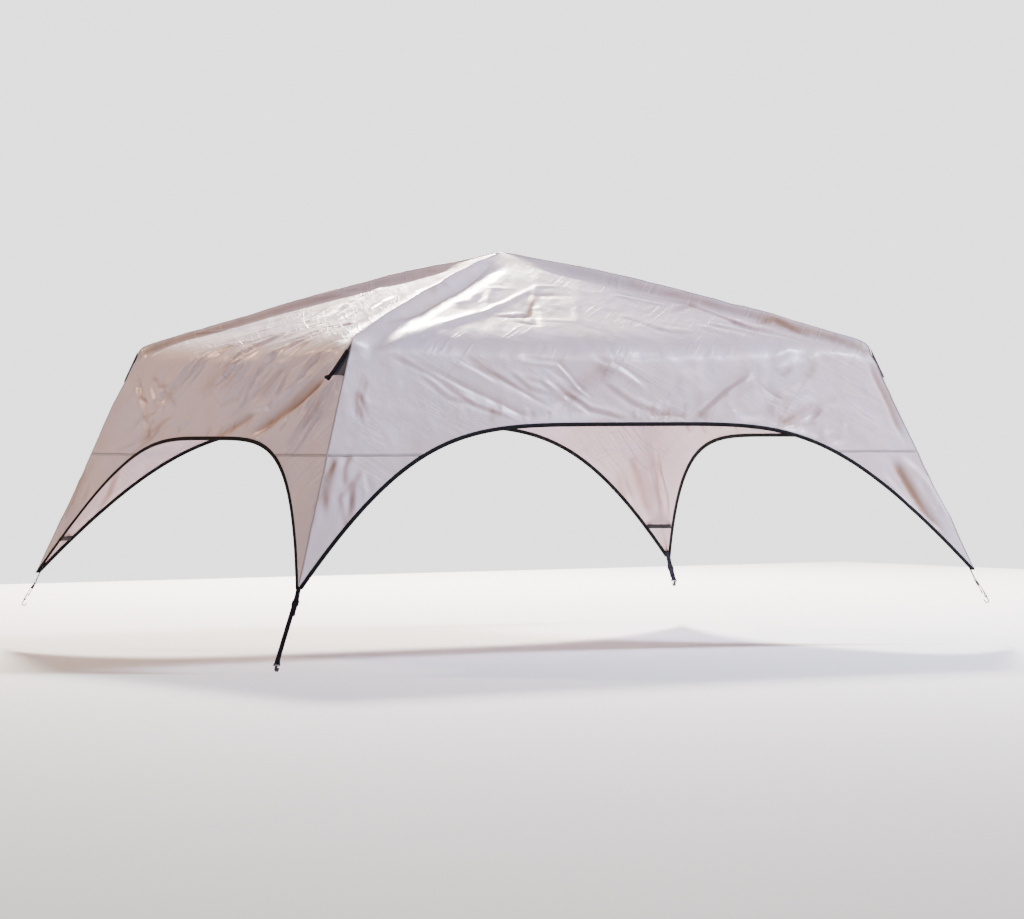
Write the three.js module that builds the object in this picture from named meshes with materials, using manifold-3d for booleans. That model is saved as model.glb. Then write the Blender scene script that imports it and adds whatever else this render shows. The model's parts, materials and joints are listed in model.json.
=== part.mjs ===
// Tarp shelter canopy: a hipped fabric roof with four arched walls that end in corner legs.
// It lies over a pole frame. Each leg is pulled tight by a webbing strap with a ladder-lock and hook.
// Millimetres, +Z up. The origin is where the frame's hub bears, under the patch at the peak.
// The wide walls face -Y (front) and +Y (back), the narrow walls face +X and -X.
import * as THREE from "three";
import Module from "manifold-3d";
import { mergeVertices } from "three/addons/utils/BufferGeometryUtils.js";

const wasm = await Module();
wasm.setup();

// ---------------------------------------------------------------- driving dimensions
const SHOULDER_X = 1520; // half length between the shoulders
const SHOULDER_Y = 1085; // half width between the shoulders
const ROOF_RISE = 490; // peak above the shoulders
const LEG_DROP = 1187; // shoulders above the point where the hems meet
const FLARE_X = 473; // how far a leg leans out along X over its drop
const FLARE_Y = 293; // and along Y
const SHOULDER_ROUND = 25; // drop over which the roof turns into the leg, each way
const SEAM_DROP = 540; // shoulders above the level seam across the legs
const WIDE_ARCH = { drop: 406, power: 4.6 }; // hem's top below the shoulders, and its squareness
const NARROW_ARCH = { drop: 467, power: 4 };
const TIP_TRIM = 40; // how far above the hems' meeting point the cloth stops
const PEAK_TRIM = 8; // drop of the small hole where the four panels meet

const CLOTH = 2; // thickness of a panel's solid
const SEAM_GAP = 0.4; // each panel stands this far out from its seams
const PLY_GAP = 0.4; // between sewn layers
const TAPE = 1.2; // hem tape thickness
const TAPE_COVER = 14; // how far the tape laps over the cloth
const TAPE_LIP = 2.4; // and how far it stands past the cloth's edge
const PATCH = 1.5; // reinforcement patch thickness
const PEAK_PATCH = 54; // drop of the peak patch's edge
const SHOULDER_PATCH = { up: 45, down: 130, width: 125 };

const WEB = { width: 25, thick: 1.6 }; // webbing
const BAR = 5; // square section of the ladder-lock's bars
const EYE_TURN = BAR / Math.SQRT2 + WEB.thick / 2 + 0.46; // radius of webbing's middle round a bar
const EYE_OUT = EYE_TURN + WEB.thick / 2; // and of its outside
const LOCK = { arm: 5, slot: 0.5, room: 1, mouth: 4.2, lip: 11.5, chamfer: 2, shoulder: 3 };
const MIDDLE_BAR = 2 * EYE_OUT + LOCK.room;
const LAST_BAR = MIDDLE_BAR + EYE_OUT + BAR / 2 + LOCK.mouth;
const TAB = { inside: 35, reach: 60, taper: 22, clearX: 0.9, clearY: 1.9 };
const STRAP_LEAN = THREE.MathUtils.degToRad(33);
const STRAP_LENGTH = { front_left: 330, front_right: 96, back_left: 96, back_right: 96 };
const STITCHED = 34; // length of webbing sewn back on itself
const EYE_OVERLAP = WEB.thick + PLY_GAP - EYE_TURN; // and where that layer lies
const TAIL_LENGTH = 62;
const TAIL_FOLD = { radius: 1.3, back: 14 };
const HOOK = { bar: 4, slot: 6.5, width: 12, shank: 14, bite: 6, corner: 4, stock: 4, tip: 11 };
const HOOK_LEAD = { long: 4, out: 2 }; // the hook's tip turns away by this much

const TIE = { up: 174, width: 26, thick: 1.6, inset: 20, lift: 7, overlap: 32 };
const FIN = { below: 14, length: 172, reach: 98, lift: 12, hollow: 10, thick: 1.6, proud: 2.5 };
const FIN_OPEN = THREE.MathUtils.degToRad(14); // how far it stands off the wall it lies on
const FIN_FACE = { front_left: "left", front_right: "right", back_left: "back", back_right: "back" };
const GUY = { start: 38, inset: 8, turn: 5, flat: 6, past: 18, sewn: 20 };

// ---------------------------------------------------------------- materials
const cloth = new THREE.MeshStandardMaterial({ color: 0xcfc4c6, roughness: 0.55, side: THREE.DoubleSide });
const patchCloth = new THREE.MeshStandardMaterial({ color: 0xb9b0b2, roughness: 0.7 });
const tape = new THREE.MeshStandardMaterial({ color: 0x14151a, roughness: 0.8 });
const webbing = new THREE.MeshStandardMaterial({ color: 0x171a26, roughness: 0.85 });
const finCloth = new THREE.MeshStandardMaterial({ color: 0x3a4152, roughness: 0.7 });
const plastic = new THREE.MeshStandardMaterial({ color: 0x101114, roughness: 0.45 });
const loopTape = new THREE.MeshStandardMaterial({ color: 0x0d0d10, roughness: 0.95 });

// ---------------------------------------------------------------- the canopy's shape
const APEX = PATCH + PLY_GAP + CLOTH + SEAM_GAP + PLY_GAP; // the roof's outer point above the origin
const HEM_END = ROOF_RISE + LEG_DROP - TIP_TRIM;
const SEAM = ROOF_RISE + SEAM_DROP;

// One half-size of the canopy at a drop below the peak: straight roof, straight leg, round between.
function halfSize(drop, shoulder, flare) {
  const roofSlope = shoulder / ROOF_RISE;
  const legSlope = flare / LEG_DROP;
  const past = drop - ROOF_RISE;
  if (past <= -SHOULDER_ROUND) return roofSlope * drop;
  if (past >= SHOULDER_ROUND) return shoulder + legSlope * past;
  const round = (roofSlope - legSlope) * (SHOULDER_ROUND - past) ** 2 / (4 * SHOULDER_ROUND);
  return shoulder + legSlope * past - round;
}

// The same half-size, inset by a thickness measured square to the cloth.
function insetSize(drop, shoulder, flare, inset) {
  const step = 1;
  const rise = halfSize(drop + step, shoulder, flare) - halfSize(drop - step, shoulder, flare);
  const slope = rise / (2 * step);
  return halfSize(drop, shoulder, flare) - inset * Math.hypot(1, slope);
}
const sizeX = (drop, inset = 0) => insetSize(drop, SHOULDER_X, FLARE_X, inset);
const sizeY = (drop, inset = 0) => insetSize(drop, SHOULDER_Y, FLARE_Y, inset);

// The four walls, each a quarter turn on from the last. across runs along a wall, out points from it.
const wideWall = { across: sizeX, out: sizeY, arch: WIDE_ARCH };
const narrowWall = { across: sizeY, out: sizeX, arch: NARROW_ARCH };
const FACES = [
  { name: "front", turn: 0, ...wideWall, ends: ["front_left", "front_right"] },
  { name: "right", turn: 1, ...narrowWall, ends: ["front_right", "back_right"] },
  { name: "back", turn: 2, ...wideWall, ends: ["back_right", "back_left"] },
  { name: "left", turn: 3, ...narrowWall, ends: ["back_left", "front_left"] },
];
const UP = new THREE.Vector3(0, 0, 1);

function onFace(face, across, out, drop) {
  const point = new THREE.Vector3(across, -out, APEX - drop);
  return point.applyAxisAngle(UP, face.turn * Math.PI / 2);
}

// The hem: u runs from -1 to 1 along the wall, from one corner to the other.
function hemDrop(face, u) {
  const deep = LEG_DROP - face.arch.drop;
  return ROOF_RISE + face.arch.drop + deep * Math.abs(u) ** face.arch.power;
}
function hemShare(face, drop) {
  const deep = LEG_DROP - face.arch.drop;
  return ((drop - ROOF_RISE - face.arch.drop) / deep) ** (1 / face.arch.power);
}

// ---------------------------------------------------------------- geometry helpers
// A closed solid from two grids of points of the same size, the outer one and the inner one.
function skin(outer, inner) {
  const rows = outer.length;
  const columns = outer[0].length;
  const points = [...outer.flat(), ...inner.flat()];
  const count = rows * columns;
  const on = (side, i, j) => side * count + i * columns + j;
  const index = [];
  const right = columns - 1;
  const quad = (a, b, c, d) => index.push(a, b, c, a, c, d);
  for (let i = 0; i < rows - 1; i++) {
    for (let j = 0; j < right; j++) {
      quad(on(0, i, j), on(0, i + 1, j), on(0, i + 1, j + 1), on(0, i, j + 1));
      quad(on(1, i, j), on(1, i, j + 1), on(1, i + 1, j + 1), on(1, i + 1, j));
    }
  }
  for (let j = 0; j < right; j++) {
    quad(on(0, 0, j), on(0, 0, j + 1), on(1, 0, j + 1), on(1, 0, j));
    quad(on(0, rows - 1, j + 1), on(0, rows - 1, j), on(1, rows - 1, j), on(1, rows - 1, j + 1));
  }
  for (let i = 0; i < rows - 1; i++) {
    quad(on(0, i + 1, 0), on(0, i, 0), on(1, i, 0), on(1, i + 1, 0));
    quad(on(0, i, right), on(0, i + 1, right), on(1, i + 1, right), on(1, i, right));
  }
  const geometry = new THREE.BufferGeometry().setFromPoints(points);
  geometry.setIndex(index);
  geometry.computeVertexNormals();
  return geometry;
}

// A band of even thickness along a flat path, as wide as the webbing unless told otherwise.
function ribbon(path, thick = WEB.thick, width = WEB.width) {
  const sides = [[], []];
  path.forEach((point, i) => {
    const before = path[Math.max(i - 1, 0)];
    const after = path[Math.min(i + 1, path.length - 1)];
    const into = point.clone().sub(before).normalize();
    const away = after.clone().sub(point).normalize();
    if (i === 0) into.copy(away);
    if (i === path.length - 1) away.copy(into);
    const along = into.clone().add(away).normalize();
    const reach = thick / 2 / Math.max(along.dot(into), 0.5);
    const side = new THREE.Vector2(-along.y, along.x).multiplyScalar(reach);
    sides[0].push(point.clone().add(side));
    sides[1].push(point.clone().sub(side));
  });
  const shape = new THREE.Shape([...sides[0], ...sides[1].reverse()]);
  const geometry = new THREE.ExtrudeGeometry(shape, { depth: width, bevelEnabled: false });
  return geometry.translate(0, 0, -width / 2);
}

// Points on an arc, angles in degrees.
function arc(x, y, radius, from, to, steps = 10) {
  const points = [];
  for (let i = 0; i <= steps; i++) {
    const angle = THREE.MathUtils.degToRad(from + (to - from) * i / steps);
    points.push(new THREE.Vector2(x + radius * Math.cos(angle), y + radius * Math.sin(angle)));
  }
  return points;
}
const at = (x, y) => new THREE.Vector2(x, y);

// Turns a profile drawn in x and y to lie in y and z, with its width along x.
function onEdge(geometry) {
  const x = new THREE.Vector3(1, 0, 0);
  const y = new THREE.Vector3(0, 1, 0);
  return geometry.applyMatrix4(new THREE.Matrix4().makeBasis(y, UP, x));
}

function plate(outline, depth, holes = []) {
  const shape = new THREE.Shape(outline);
  holes.forEach((hole) => shape.holes.push(new THREE.Path(hole)));
  const geometry = new THREE.ExtrudeGeometry(shape, { depth, bevelEnabled: false, curveSegments: 8 });
  return geometry.translate(0, 0, -depth / 2);
}
const rectangle = (x0, y0, x1, y1) => [at(x0, y0), at(x1, y0), at(x1, y1), at(x0, y1)];

function solid(geometry) {
  const bare = geometry.index ? geometry.toNonIndexed() : geometry.clone();
  bare.deleteAttribute("normal");
  bare.deleteAttribute("uv");
  const merged = mergeVertices(bare, 1e-3);
  return new wasm.Manifold(new wasm.Mesh({
    numProp: 3,
    vertProperties: merged.attributes.position.array,
    triVerts: new Uint32Array(merged.index.array),
  }));
}
function drawn(manifold) {
  const mesh = manifold.getMesh();
  const geometry = new THREE.BufferGeometry();
  geometry.setAttribute("position", new THREE.BufferAttribute(new Float32Array(mesh.vertProperties), 3));
  geometry.setIndex(new THREE.BufferAttribute(new Uint32Array(mesh.triVerts), 1));
  geometry.computeVertexNormals();
  return geometry;
}
const joined = (...geometries) => drawn(geometries.map(solid).reduce((all, next) => all.add(next)));

function named(name, geometry, material) {
  const mesh = new THREE.Mesh(geometry, material);
  mesh.name = name;
  return mesh;
}

const group = new THREE.Group();

// ---------------------------------------------------------------- cloth panels and hem tapes
// Each face's cloth is stood out by SEAM_GAP so that neighbours never touch along a hip or a corner.
// Its inner layer is mitred to meet the next face at a corner, but a hem is cut square.
function clothPoint(face, u, drop, inset, square = true) {
  const width = square && Math.abs(u) < 1 ? face.across(drop) : face.across(drop, inset);
  return onFace(face, u * width, face.out(drop, inset) + SEAM_GAP, drop);
}

// The hem's stations, shared by the cloth's edge and the tape on it: shares across the open arch,
// and drops down the legs on both sides of it.
const ARCH_STEPS = 20;
const LEG_STEPS = 12;
function archShares(face) {
  const end = hemShare(face, SEAM);
  return Array.from({ length: ARCH_STEPS + 1 }, (_, i) => end * (2 * i / ARCH_STEPS - 1));
}
const legDrops = Array.from({ length: LEG_STEPS + 1 }, (_, i) => SEAM + (HEM_END - SEAM) * i / LEG_STEPS);

// Roof and wall in one piece, from the peak down to the hem and to the level seam beside it.
function mainPanel(face) {
  const beside = (1 + hemShare(face, SEAM)) / 2;
  const shares = [-1, -beside, ...archShares(face), beside, 1];
  const bend = [-1, -0.5, 0, 0.5, 1].map((k) => ROOF_RISE + k * SHOULDER_ROUND);
  const dropsAt = (u) => {
    const low = Math.min(hemDrop(face, u), SEAM);
    return [PEAK_TRIM, ROOF_RISE / 2, ...bend, (bend[4] + low) / 2, low];
  };
  const rows = dropsAt(0).length;
  const grid = (inset) => Array.from({ length: rows }, (_, i) => (
    shares.map((u) => clothPoint(face, u, dropsAt(u)[i], inset, i === rows - 1))
  ));
  return named("panel_" + face.name, skin(grid(0), grid(CLOTH)), cloth);
}

// Each leg below the level seam is two halves, one on each wall, sewn together down the corner.
function legHalf(face, side) {
  const drops = [SEAM + SEAM_GAP, ...legDrops.slice(1)];
  const grid = (inset) => drops.map((drop) => {
    const edge = side * hemShare(face, drop);
    const shares = side < 0 ? [-1, edge] : [edge, 1];
    return shares.map((u) => clothPoint(face, u, drop, inset));
  });
  const corner = face.ends[side < 0 ? 0 : 1];
  return named("leg_" + corner + "_" + face.name + "_half", skin(grid(0), grid(CLOTH)), cloth);
}

// A tape folded over the hem: a channel whose slot holds the cloth's edge.
const HEM_STEP = 0.002; // share of the wall over which the hem's direction is taken
function hemTape(face) {
  const legShares = legDrops.slice(1).map((drop) => hemShare(face, drop));
  const shares = [...legShares.map((u) => -u).reverse(), ...archShares(face), ...legShares];
  const start = clothPoint(face, -0.5, HEM_END, 0);
  const level = clothPoint(face, 0.5, HEM_END, 0).sub(start).normalize();
  const down = clothPoint(face, -0.5, HEM_END, 0).sub(clothPoint(face, -0.5, SEAM, 0));
  const outward = down.clone().cross(level).normalize();
  const deep = -CLOTH - PLY_GAP;
  const section = [
    [-TAPE_COVER, PLY_GAP + TAPE],
    [-TAPE_COVER, PLY_GAP],
    [PLY_GAP, PLY_GAP],
    [PLY_GAP, deep],
    [-TAPE_COVER, deep],
    [-TAPE_COVER, deep - TAPE],
    [TAPE_LIP, deep - TAPE],
    [TAPE_LIP, PLY_GAP + TAPE],
  ];
  const rings = shares.map((u) => {
    const here = clothPoint(face, u, hemDrop(face, u), 0);
    const before = clothPoint(face, u - HEM_STEP, hemDrop(face, u - HEM_STEP), 0);
    const after = clothPoint(face, u + HEM_STEP, hemDrop(face, u + HEM_STEP), 0);
    const along = after.sub(before).normalize();
    const past = along.clone().cross(outward).normalize();
    return section.map(([p, n]) => here.clone().addScaledVector(past, p).addScaledVector(outward, n));
  });
  return named("hem_tape_" + face.name, tube(rings, section.map(([p, n]) => at(p, n))), tape);
}

// A closed solid through a row of rings. The outline runs clockwise, seen from ring to ring.
function tube(rings, outline) {
  const sides = outline.length;
  const index = [];
  for (let i = 0; i < rings.length - 1; i++) {
    for (let j = 0; j < sides; j++) {
      const a = i * sides + j;
      const b = i * sides + (j + 1) % sides;
      index.push(a, b + sides, b, a, a + sides, b + sides);
    }
  }
  const last = (rings.length - 1) * sides;
  THREE.ShapeUtils.triangulateShape(outline, []).forEach(([a, b, c]) => {
    index.push(a, b, c);
    index.push(last + a, last + c, last + b);
  });
  const geometry = new THREE.BufferGeometry().setFromPoints(rings.flat());
  geometry.setIndex(index);
  geometry.computeVertexNormals();
  return geometry;
}

FACES.forEach((face) => {
  group.add(mainPanel(face), hemTape(face), legHalf(face, -1), legHalf(face, 1));
});

// ---------------------------------------------------------------- reinforcement patches
// Under the peak: a shallow pyramid of cloth that takes the rub of the frame's hub.
function peakPatch() {
  const pyramid = (height, top) => {
    const size = height / ROOF_RISE;
    const shape = new THREE.ConeGeometry(Math.SQRT2, 1, 4).rotateX(Math.PI / 2).rotateZ(Math.PI / 4);
    shape.scale(SHOULDER_X * size, SHOULDER_Y * size, height);
    return solid(shape.translate(0, 0, top - height / 2));
  };
  const shell = pyramid(PEAK_PATCH, PATCH).subtract(pyramid(2 * PEAK_PATCH, 0));
  return named("peak_patch", drawn(shell), patchCloth);
}
group.add(peakPatch());

// The corners, each where one face ends and the next begins.
const CORNERS = FACES.map((next, k) => ({ name: next.ends[0], next, before: FACES[(k + 3) % 4] }));
CORNERS.forEach((corner) => {
  const point = cornerPoint(corner, ROOF_RISE);
  corner.sideX = Math.sign(point.x);
  corner.sideY = Math.sign(point.y);
  corner.alongNext = new THREE.Vector3(1, 0, 0).applyAxisAngle(UP, corner.next.turn * Math.PI / 2);
  corner.alongBefore = new THREE.Vector3(-1, 0, 0).applyAxisAngle(UP, corner.before.turn * Math.PI / 2);
  corner.down = cornerPoint(corner, HEM_END).sub(cornerPoint(corner, SEAM)).normalize();
  corner.outward = corner.down.clone().setZ(0).normalize();
  corner.level = UP.clone().cross(corner.outward);
});

function cornerPoint(corner, drop) {
  return onFace(corner.next, -corner.next.across(drop), corner.next.out(drop), drop);
}

// Inside each shoulder, over the roof's edge and down the leg, where the frame's elbow rubs.
function shoulderPatch(corner) {
  const { up, down, width } = SHOULDER_PATCH;
  const bend = [-1, -0.5, 0, 0.5, 1].map((k) => k * SHOULDER_ROUND);
  const drops = [-up, ...bend, down].map((past) => ROOF_RISE + past);
  const grid = (inset) => drops.map((drop) => {
    const { before, next } = corner;
    return [
      onFace(before, before.across(drop, inset) - width, before.out(drop, inset), drop),
      onFace(next, -next.across(drop, inset), next.out(drop, inset), drop),
      onFace(next, width - next.across(drop, inset), next.out(drop, inset), drop),
    ];
  });
  const inset = CLOTH + PLY_GAP;
  return named("shoulder_patch_" + corner.name, skin(grid(inset), grid(inset + PATCH)), patchCloth);
}

// ---------------------------------------------------------------- leg ties
// Two lengths of touch tape that close round the frame's leg. Each is sewn to one hem by its end.
function legTie(corner) {
  const drop = HEM_END - TIE.up;
  const depth = (face) => (1 - hemShare(face, drop)) * face.across(drop) - TIE.inset;
  const nextEnd = at(depth(corner.next), TIE.lift);
  const beforeEnd = at(TIE.lift, depth(corner.before));
  const aside = beforeEnd.clone().sub(nextEnd).normalize().multiplyScalar(TIE.thick + PLY_GAP);
  const offset = at(-aside.y, aside.x);
  const reach = (1 + TIE.overlap / nextEnd.distanceTo(beforeEnd)) / 2;
  const lap = (from, to) => [from.clone(), from.clone().lerp(to, reach)];
  const up = corner.down.clone().negate();
  const frame = new THREE.Matrix4().makeBasis(corner.alongNext, corner.alongBefore, up);
  const strip = (path) => ribbon(path, TIE.thick, TIE.width).applyMatrix4(frame);
  const tie = new THREE.Group();
  tie.name = "tie_" + corner.name;
  tie.position.copy(cornerPoint(corner, drop));
  tie.userData = { nextEnd, beforeEnd: beforeEnd.clone().add(offset) };
  tie.add(named("tie_hook_" + corner.name, strip(lap(nextEnd, beforeEnd)), loopTape));
  const under = lap(beforeEnd, nextEnd).map((point) => point.add(offset));
  tie.add(named("tie_loop_" + corner.name, strip(under), loopTape));
  return tie;
}

// ---------------------------------------------------------------- guy fins
// A triangle of cloth whose root is sewn down the corner, with a webbing edge that ends in a loop.
function guyFin(corner) {
  const onNext = FIN_FACE[corner.name] === corner.next.name;
  const along = onNext ? corner.alongNext : corner.alongBefore;
  const flat = along.clone().addScaledVector(corner.down, -along.dot(corner.down)).normalize();
  const normal = flat.clone().cross(corner.down);
  const side = Math.sign(normal.dot(corner.outward));
  const across = flat.clone().multiplyScalar(Math.cos(FIN_OPEN));
  across.addScaledVector(normal, side * Math.sin(FIN_OPEN));
  const fin = new THREE.Group();
  fin.name = "fin_" + corner.name;
  const up = HEM_END - ROOF_RISE - FIN.below;
  fin.position.copy(cornerPoint(corner, HEM_END)).addScaledVector(corner.down, up / corner.down.z);
  fin.position.add(new THREE.Vector3(corner.sideX, corner.sideY, 0).multiplyScalar(FIN.proud));
  fin.setRotationFromMatrix(
    new THREE.Matrix4().makeBasis(across, corner.down, across.clone().cross(corner.down)),
  );
  const shape = new THREE.Shape();
  shape.moveTo(0, 0);
  shape.lineTo(0, FIN.length);
  shape.quadraticCurveTo(FIN.reach / 2, FIN.length - 2 * FIN.hollow, FIN.reach, FIN.length - FIN.lift);
  fin.add(named("guy_fin_" + corner.name, plate(shape.getPoints(8), FIN.thick), finCloth));

  const edge = new THREE.Group();
  edge.name = "edge_" + corner.name;
  edge.rotation.z = Math.atan2(FIN.length - FIN.lift, FIN.reach);
  const length = Math.hypot(FIN.length - FIN.lift, FIN.reach);
  const rise = FIN.thick / 2 + PLY_GAP + WEB.thick / 2;
  const top = rise + 2 * GUY.turn + GUY.flat;
  const end = length + GUY.past;
  const path = [
    at(GUY.start, rise),
    at(end - GUY.turn, rise),
    ...arc(end - GUY.turn, rise + GUY.turn, GUY.turn, -90, 0, 5).slice(1),
    ...arc(end - GUY.turn, top - GUY.turn, GUY.turn, 0, 90, 5),
    at(end - 2 * GUY.turn, top),
    at(length - GUY.turn, rise + WEB.thick + PLY_GAP),
    at(length - GUY.turn - GUY.sewn, rise + WEB.thick + PLY_GAP),
  ];
  const web = ribbon(path.map((point) => at(point.x, side * point.y))).rotateX(Math.PI / 2);
  web.translate(0, GUY.inset, 0);
  edge.add(named("guy_web_" + corner.name, web, webbing));
  fin.add(edge);
  return fin;
}

// ---------------------------------------------------------------- tip straps
// Where a tab starts: set in from the corner until it clears both hems' tapes.
function tabRoot(corner) {
  const side = WEB.width / 2;
  const ply = WEB.thick + PLY_GAP / 2;
  const stack = CLOTH + PLY_GAP + TAPE;
  const setX = side * Math.abs(corner.level.x) + ply * Math.abs(corner.outward.x)
    + stack * Math.hypot(1, FLARE_X / LEG_DROP) + SEAM_GAP + TAB.clearX;
  const setY = side * Math.abs(corner.level.y) + ply * Math.abs(corner.outward.y)
    + stack * Math.hypot(1, FLARE_Y / LEG_DROP) + SEAM_GAP + TAB.clearY;
  const inward = new THREE.Vector3(-corner.sideX * setX, -corner.sideY * setY, 0);
  return cornerPoint(corner, HEM_END).add(inward);
}

// The webbing tab that grips the tip: two plies inside the corner, then a turn round the lock's bar.
function tipTab(corner) {
  const tab = new THREE.Group();
  tab.position.copy(tabRoot(corner));
  tab.setRotationFromMatrix(
    new THREE.Matrix4().makeBasis(corner.level, corner.down, corner.level.clone().cross(corner.down)),
  );
  const ply = (WEB.thick + PLY_GAP) / 2;
  const path = [
    at(-TAB.inside, -ply),
    at(TAB.reach - TAB.taper, -ply),
    ...arc(TAB.reach, 0, EYE_TURN, -110, 110, 14),
    at(TAB.reach - TAB.taper, ply),
    at(-TAB.inside, ply),
  ];
  tab.add(named("tip_tab_" + corner.name, onEdge(ribbon(path)), webbing));
  return tab;
}

function ladderLock() {
  const half = WEB.width / 2 + LOCK.slot;
  const wide = half + LOCK.arm;
  const bar = BAR / 2;
  const { chamfer, shoulder } = LOCK;
  const low = LAST_BAR + bar;
  const lip = LAST_BAR + LOCK.lip - bar;
  const outline = [
    at(-wide + chamfer, -bar),
    at(wide - chamfer, -bar),
    at(wide, -bar + chamfer),
    at(wide, low - shoulder),
    at(wide - shoulder, low),
    at(half - chamfer, lip),
    at(chamfer - half, lip),
    at(shoulder - wide, low),
    at(-wide, low - shoulder),
    at(-wide, -bar + chamfer),
  ];
  const slots = [
    rectangle(-half, bar, half, MIDDLE_BAR - bar),
    rectangle(-half, MIDDLE_BAR + bar, half, LAST_BAR - bar),
  ];
  return plate(outline, BAR, slots);
}

// The strap turns over the lock's middle bar, runs to the hook's eye and is sewn back on itself.
function strapBand(length) {
  return onEdge(ribbon([
    at(length - STITCHED, EYE_OVERLAP),
    at(length - STITCHED / 2, EYE_OVERLAP),
    ...arc(length, 0, EYE_TURN, 110, -90, 12),
    ...arc(MIDDLE_BAR, 0, EYE_TURN, -90, -270, 12),
  ]));
}

// The free end below the lock, with its end folded over so that it can't pull through.
function tailBand() {
  const end = MIDDLE_BAR + TAIL_LENGTH;
  const { radius, back } = TAIL_FOLD;
  return onEdge(ribbon([
    at(MIDDLE_BAR + PLY_GAP, EYE_TURN),
    ...arc(end, EYE_TURN + radius, radius, -90, 90, 8),
    at(end - back, EYE_TURN + 2 * radius),
  ]));
}

function hookBody() {
  const half = WEB.width / 2 + LOCK.slot;
  const low = HOOK.bar / 2 + HOOK.slot;
  const eye = plate(
    rectangle(-half - HOOK.bar, -HOOK.bar / 2, half + HOOK.bar, low + HOOK.bar),
    HOOK.bar,
    [rectangle(-half, HOOK.bar / 2, half, low)],
  );
  const bend = HOOK.corner + HOOK.stock / 2;
  const turn = low + HOOK.bar + HOOK.shank;
  const far = 2 * bend + HOOK.bite;
  const stem = onEdge(ribbon([
    at(low + HOOK.bar / 2, 0),
    ...arc(turn, bend, bend, -90, 0, 6),
    ...arc(turn, far - bend, bend, 0, 90, 6),
    at(turn - HOOK.tip, far),
    at(turn - HOOK.tip - HOOK_LEAD.long, far + HOOK_LEAD.out),
  ], HOOK.stock, HOOK.width));
  return joined(eye, stem);
}

function strapRig(corner) {
  const lean = corner.outward.clone().multiplyScalar(Math.sin(STRAP_LEAN));
  lean.addScaledVector(UP, -Math.cos(STRAP_LEAN));
  const rig = new THREE.Group();
  rig.name = "rig_" + corner.name;
  rig.position.copy(tabRoot(corner)).addScaledVector(corner.down, TAB.reach);
  rig.setRotationFromMatrix(
    new THREE.Matrix4().makeBasis(corner.level, lean, corner.level.clone().cross(lean)),
  );
  const length = STRAP_LENGTH[corner.name];
  rig.add(named("lock_" + corner.name, ladderLock(), plastic));
  rig.add(named("strap_" + corner.name, strapBand(length), webbing));
  rig.add(named("tail_" + corner.name, tailBand(), webbing));
  const hook = named("hook_" + corner.name, hookBody(), plastic);
  hook.position.y = length;
  rig.add(hook);
  return rig;
}

CORNERS.forEach((corner) => {
  group.add(shoulderPatch(corner), legTie(corner), guyFin(corner), tipTab(corner), strapRig(corner));
});

export default group;
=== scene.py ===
"""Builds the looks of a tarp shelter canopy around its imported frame. Metres, +Z up, front to -Y."""

import json
import math

import bmesh
import bpy
import numpy as np
from mathutils import Matrix, Vector


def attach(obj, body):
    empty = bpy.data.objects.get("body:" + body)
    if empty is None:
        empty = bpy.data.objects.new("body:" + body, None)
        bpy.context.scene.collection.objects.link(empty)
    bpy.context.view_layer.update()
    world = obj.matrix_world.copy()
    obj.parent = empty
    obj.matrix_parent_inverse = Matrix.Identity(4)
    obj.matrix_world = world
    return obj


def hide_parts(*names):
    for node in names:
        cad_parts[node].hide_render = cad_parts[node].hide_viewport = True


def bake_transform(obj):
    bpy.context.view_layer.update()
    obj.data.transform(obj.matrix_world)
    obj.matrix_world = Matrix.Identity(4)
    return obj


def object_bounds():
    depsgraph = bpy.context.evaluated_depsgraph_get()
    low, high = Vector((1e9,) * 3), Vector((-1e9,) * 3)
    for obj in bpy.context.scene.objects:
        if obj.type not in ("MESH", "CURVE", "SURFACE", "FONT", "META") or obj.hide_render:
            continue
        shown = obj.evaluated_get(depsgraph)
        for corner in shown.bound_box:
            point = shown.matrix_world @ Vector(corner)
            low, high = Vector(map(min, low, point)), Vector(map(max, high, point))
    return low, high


bl_info = {
    "name": "Tarp Shelter Canopy",
    "version": (1, 0, 0),
    "blender": (4, 5, 0),
    "location": "View3D > Sidebar > Canopy",
    "description": "Builds a wrinkled fabric canopy with taped hems, straps and hooks",
    "category": "Object",
}

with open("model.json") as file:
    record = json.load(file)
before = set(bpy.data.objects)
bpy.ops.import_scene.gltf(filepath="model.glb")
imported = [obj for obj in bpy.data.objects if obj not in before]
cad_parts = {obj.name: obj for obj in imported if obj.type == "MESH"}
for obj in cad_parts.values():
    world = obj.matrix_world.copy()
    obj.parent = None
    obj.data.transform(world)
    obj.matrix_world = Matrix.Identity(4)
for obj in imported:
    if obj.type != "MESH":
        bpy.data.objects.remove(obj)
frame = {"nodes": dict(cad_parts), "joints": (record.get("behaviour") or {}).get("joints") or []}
CAD_BOX = [list(corner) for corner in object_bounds()]
JOINTS = {joint["name"]: joint for joint in frame["joints"]}

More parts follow.
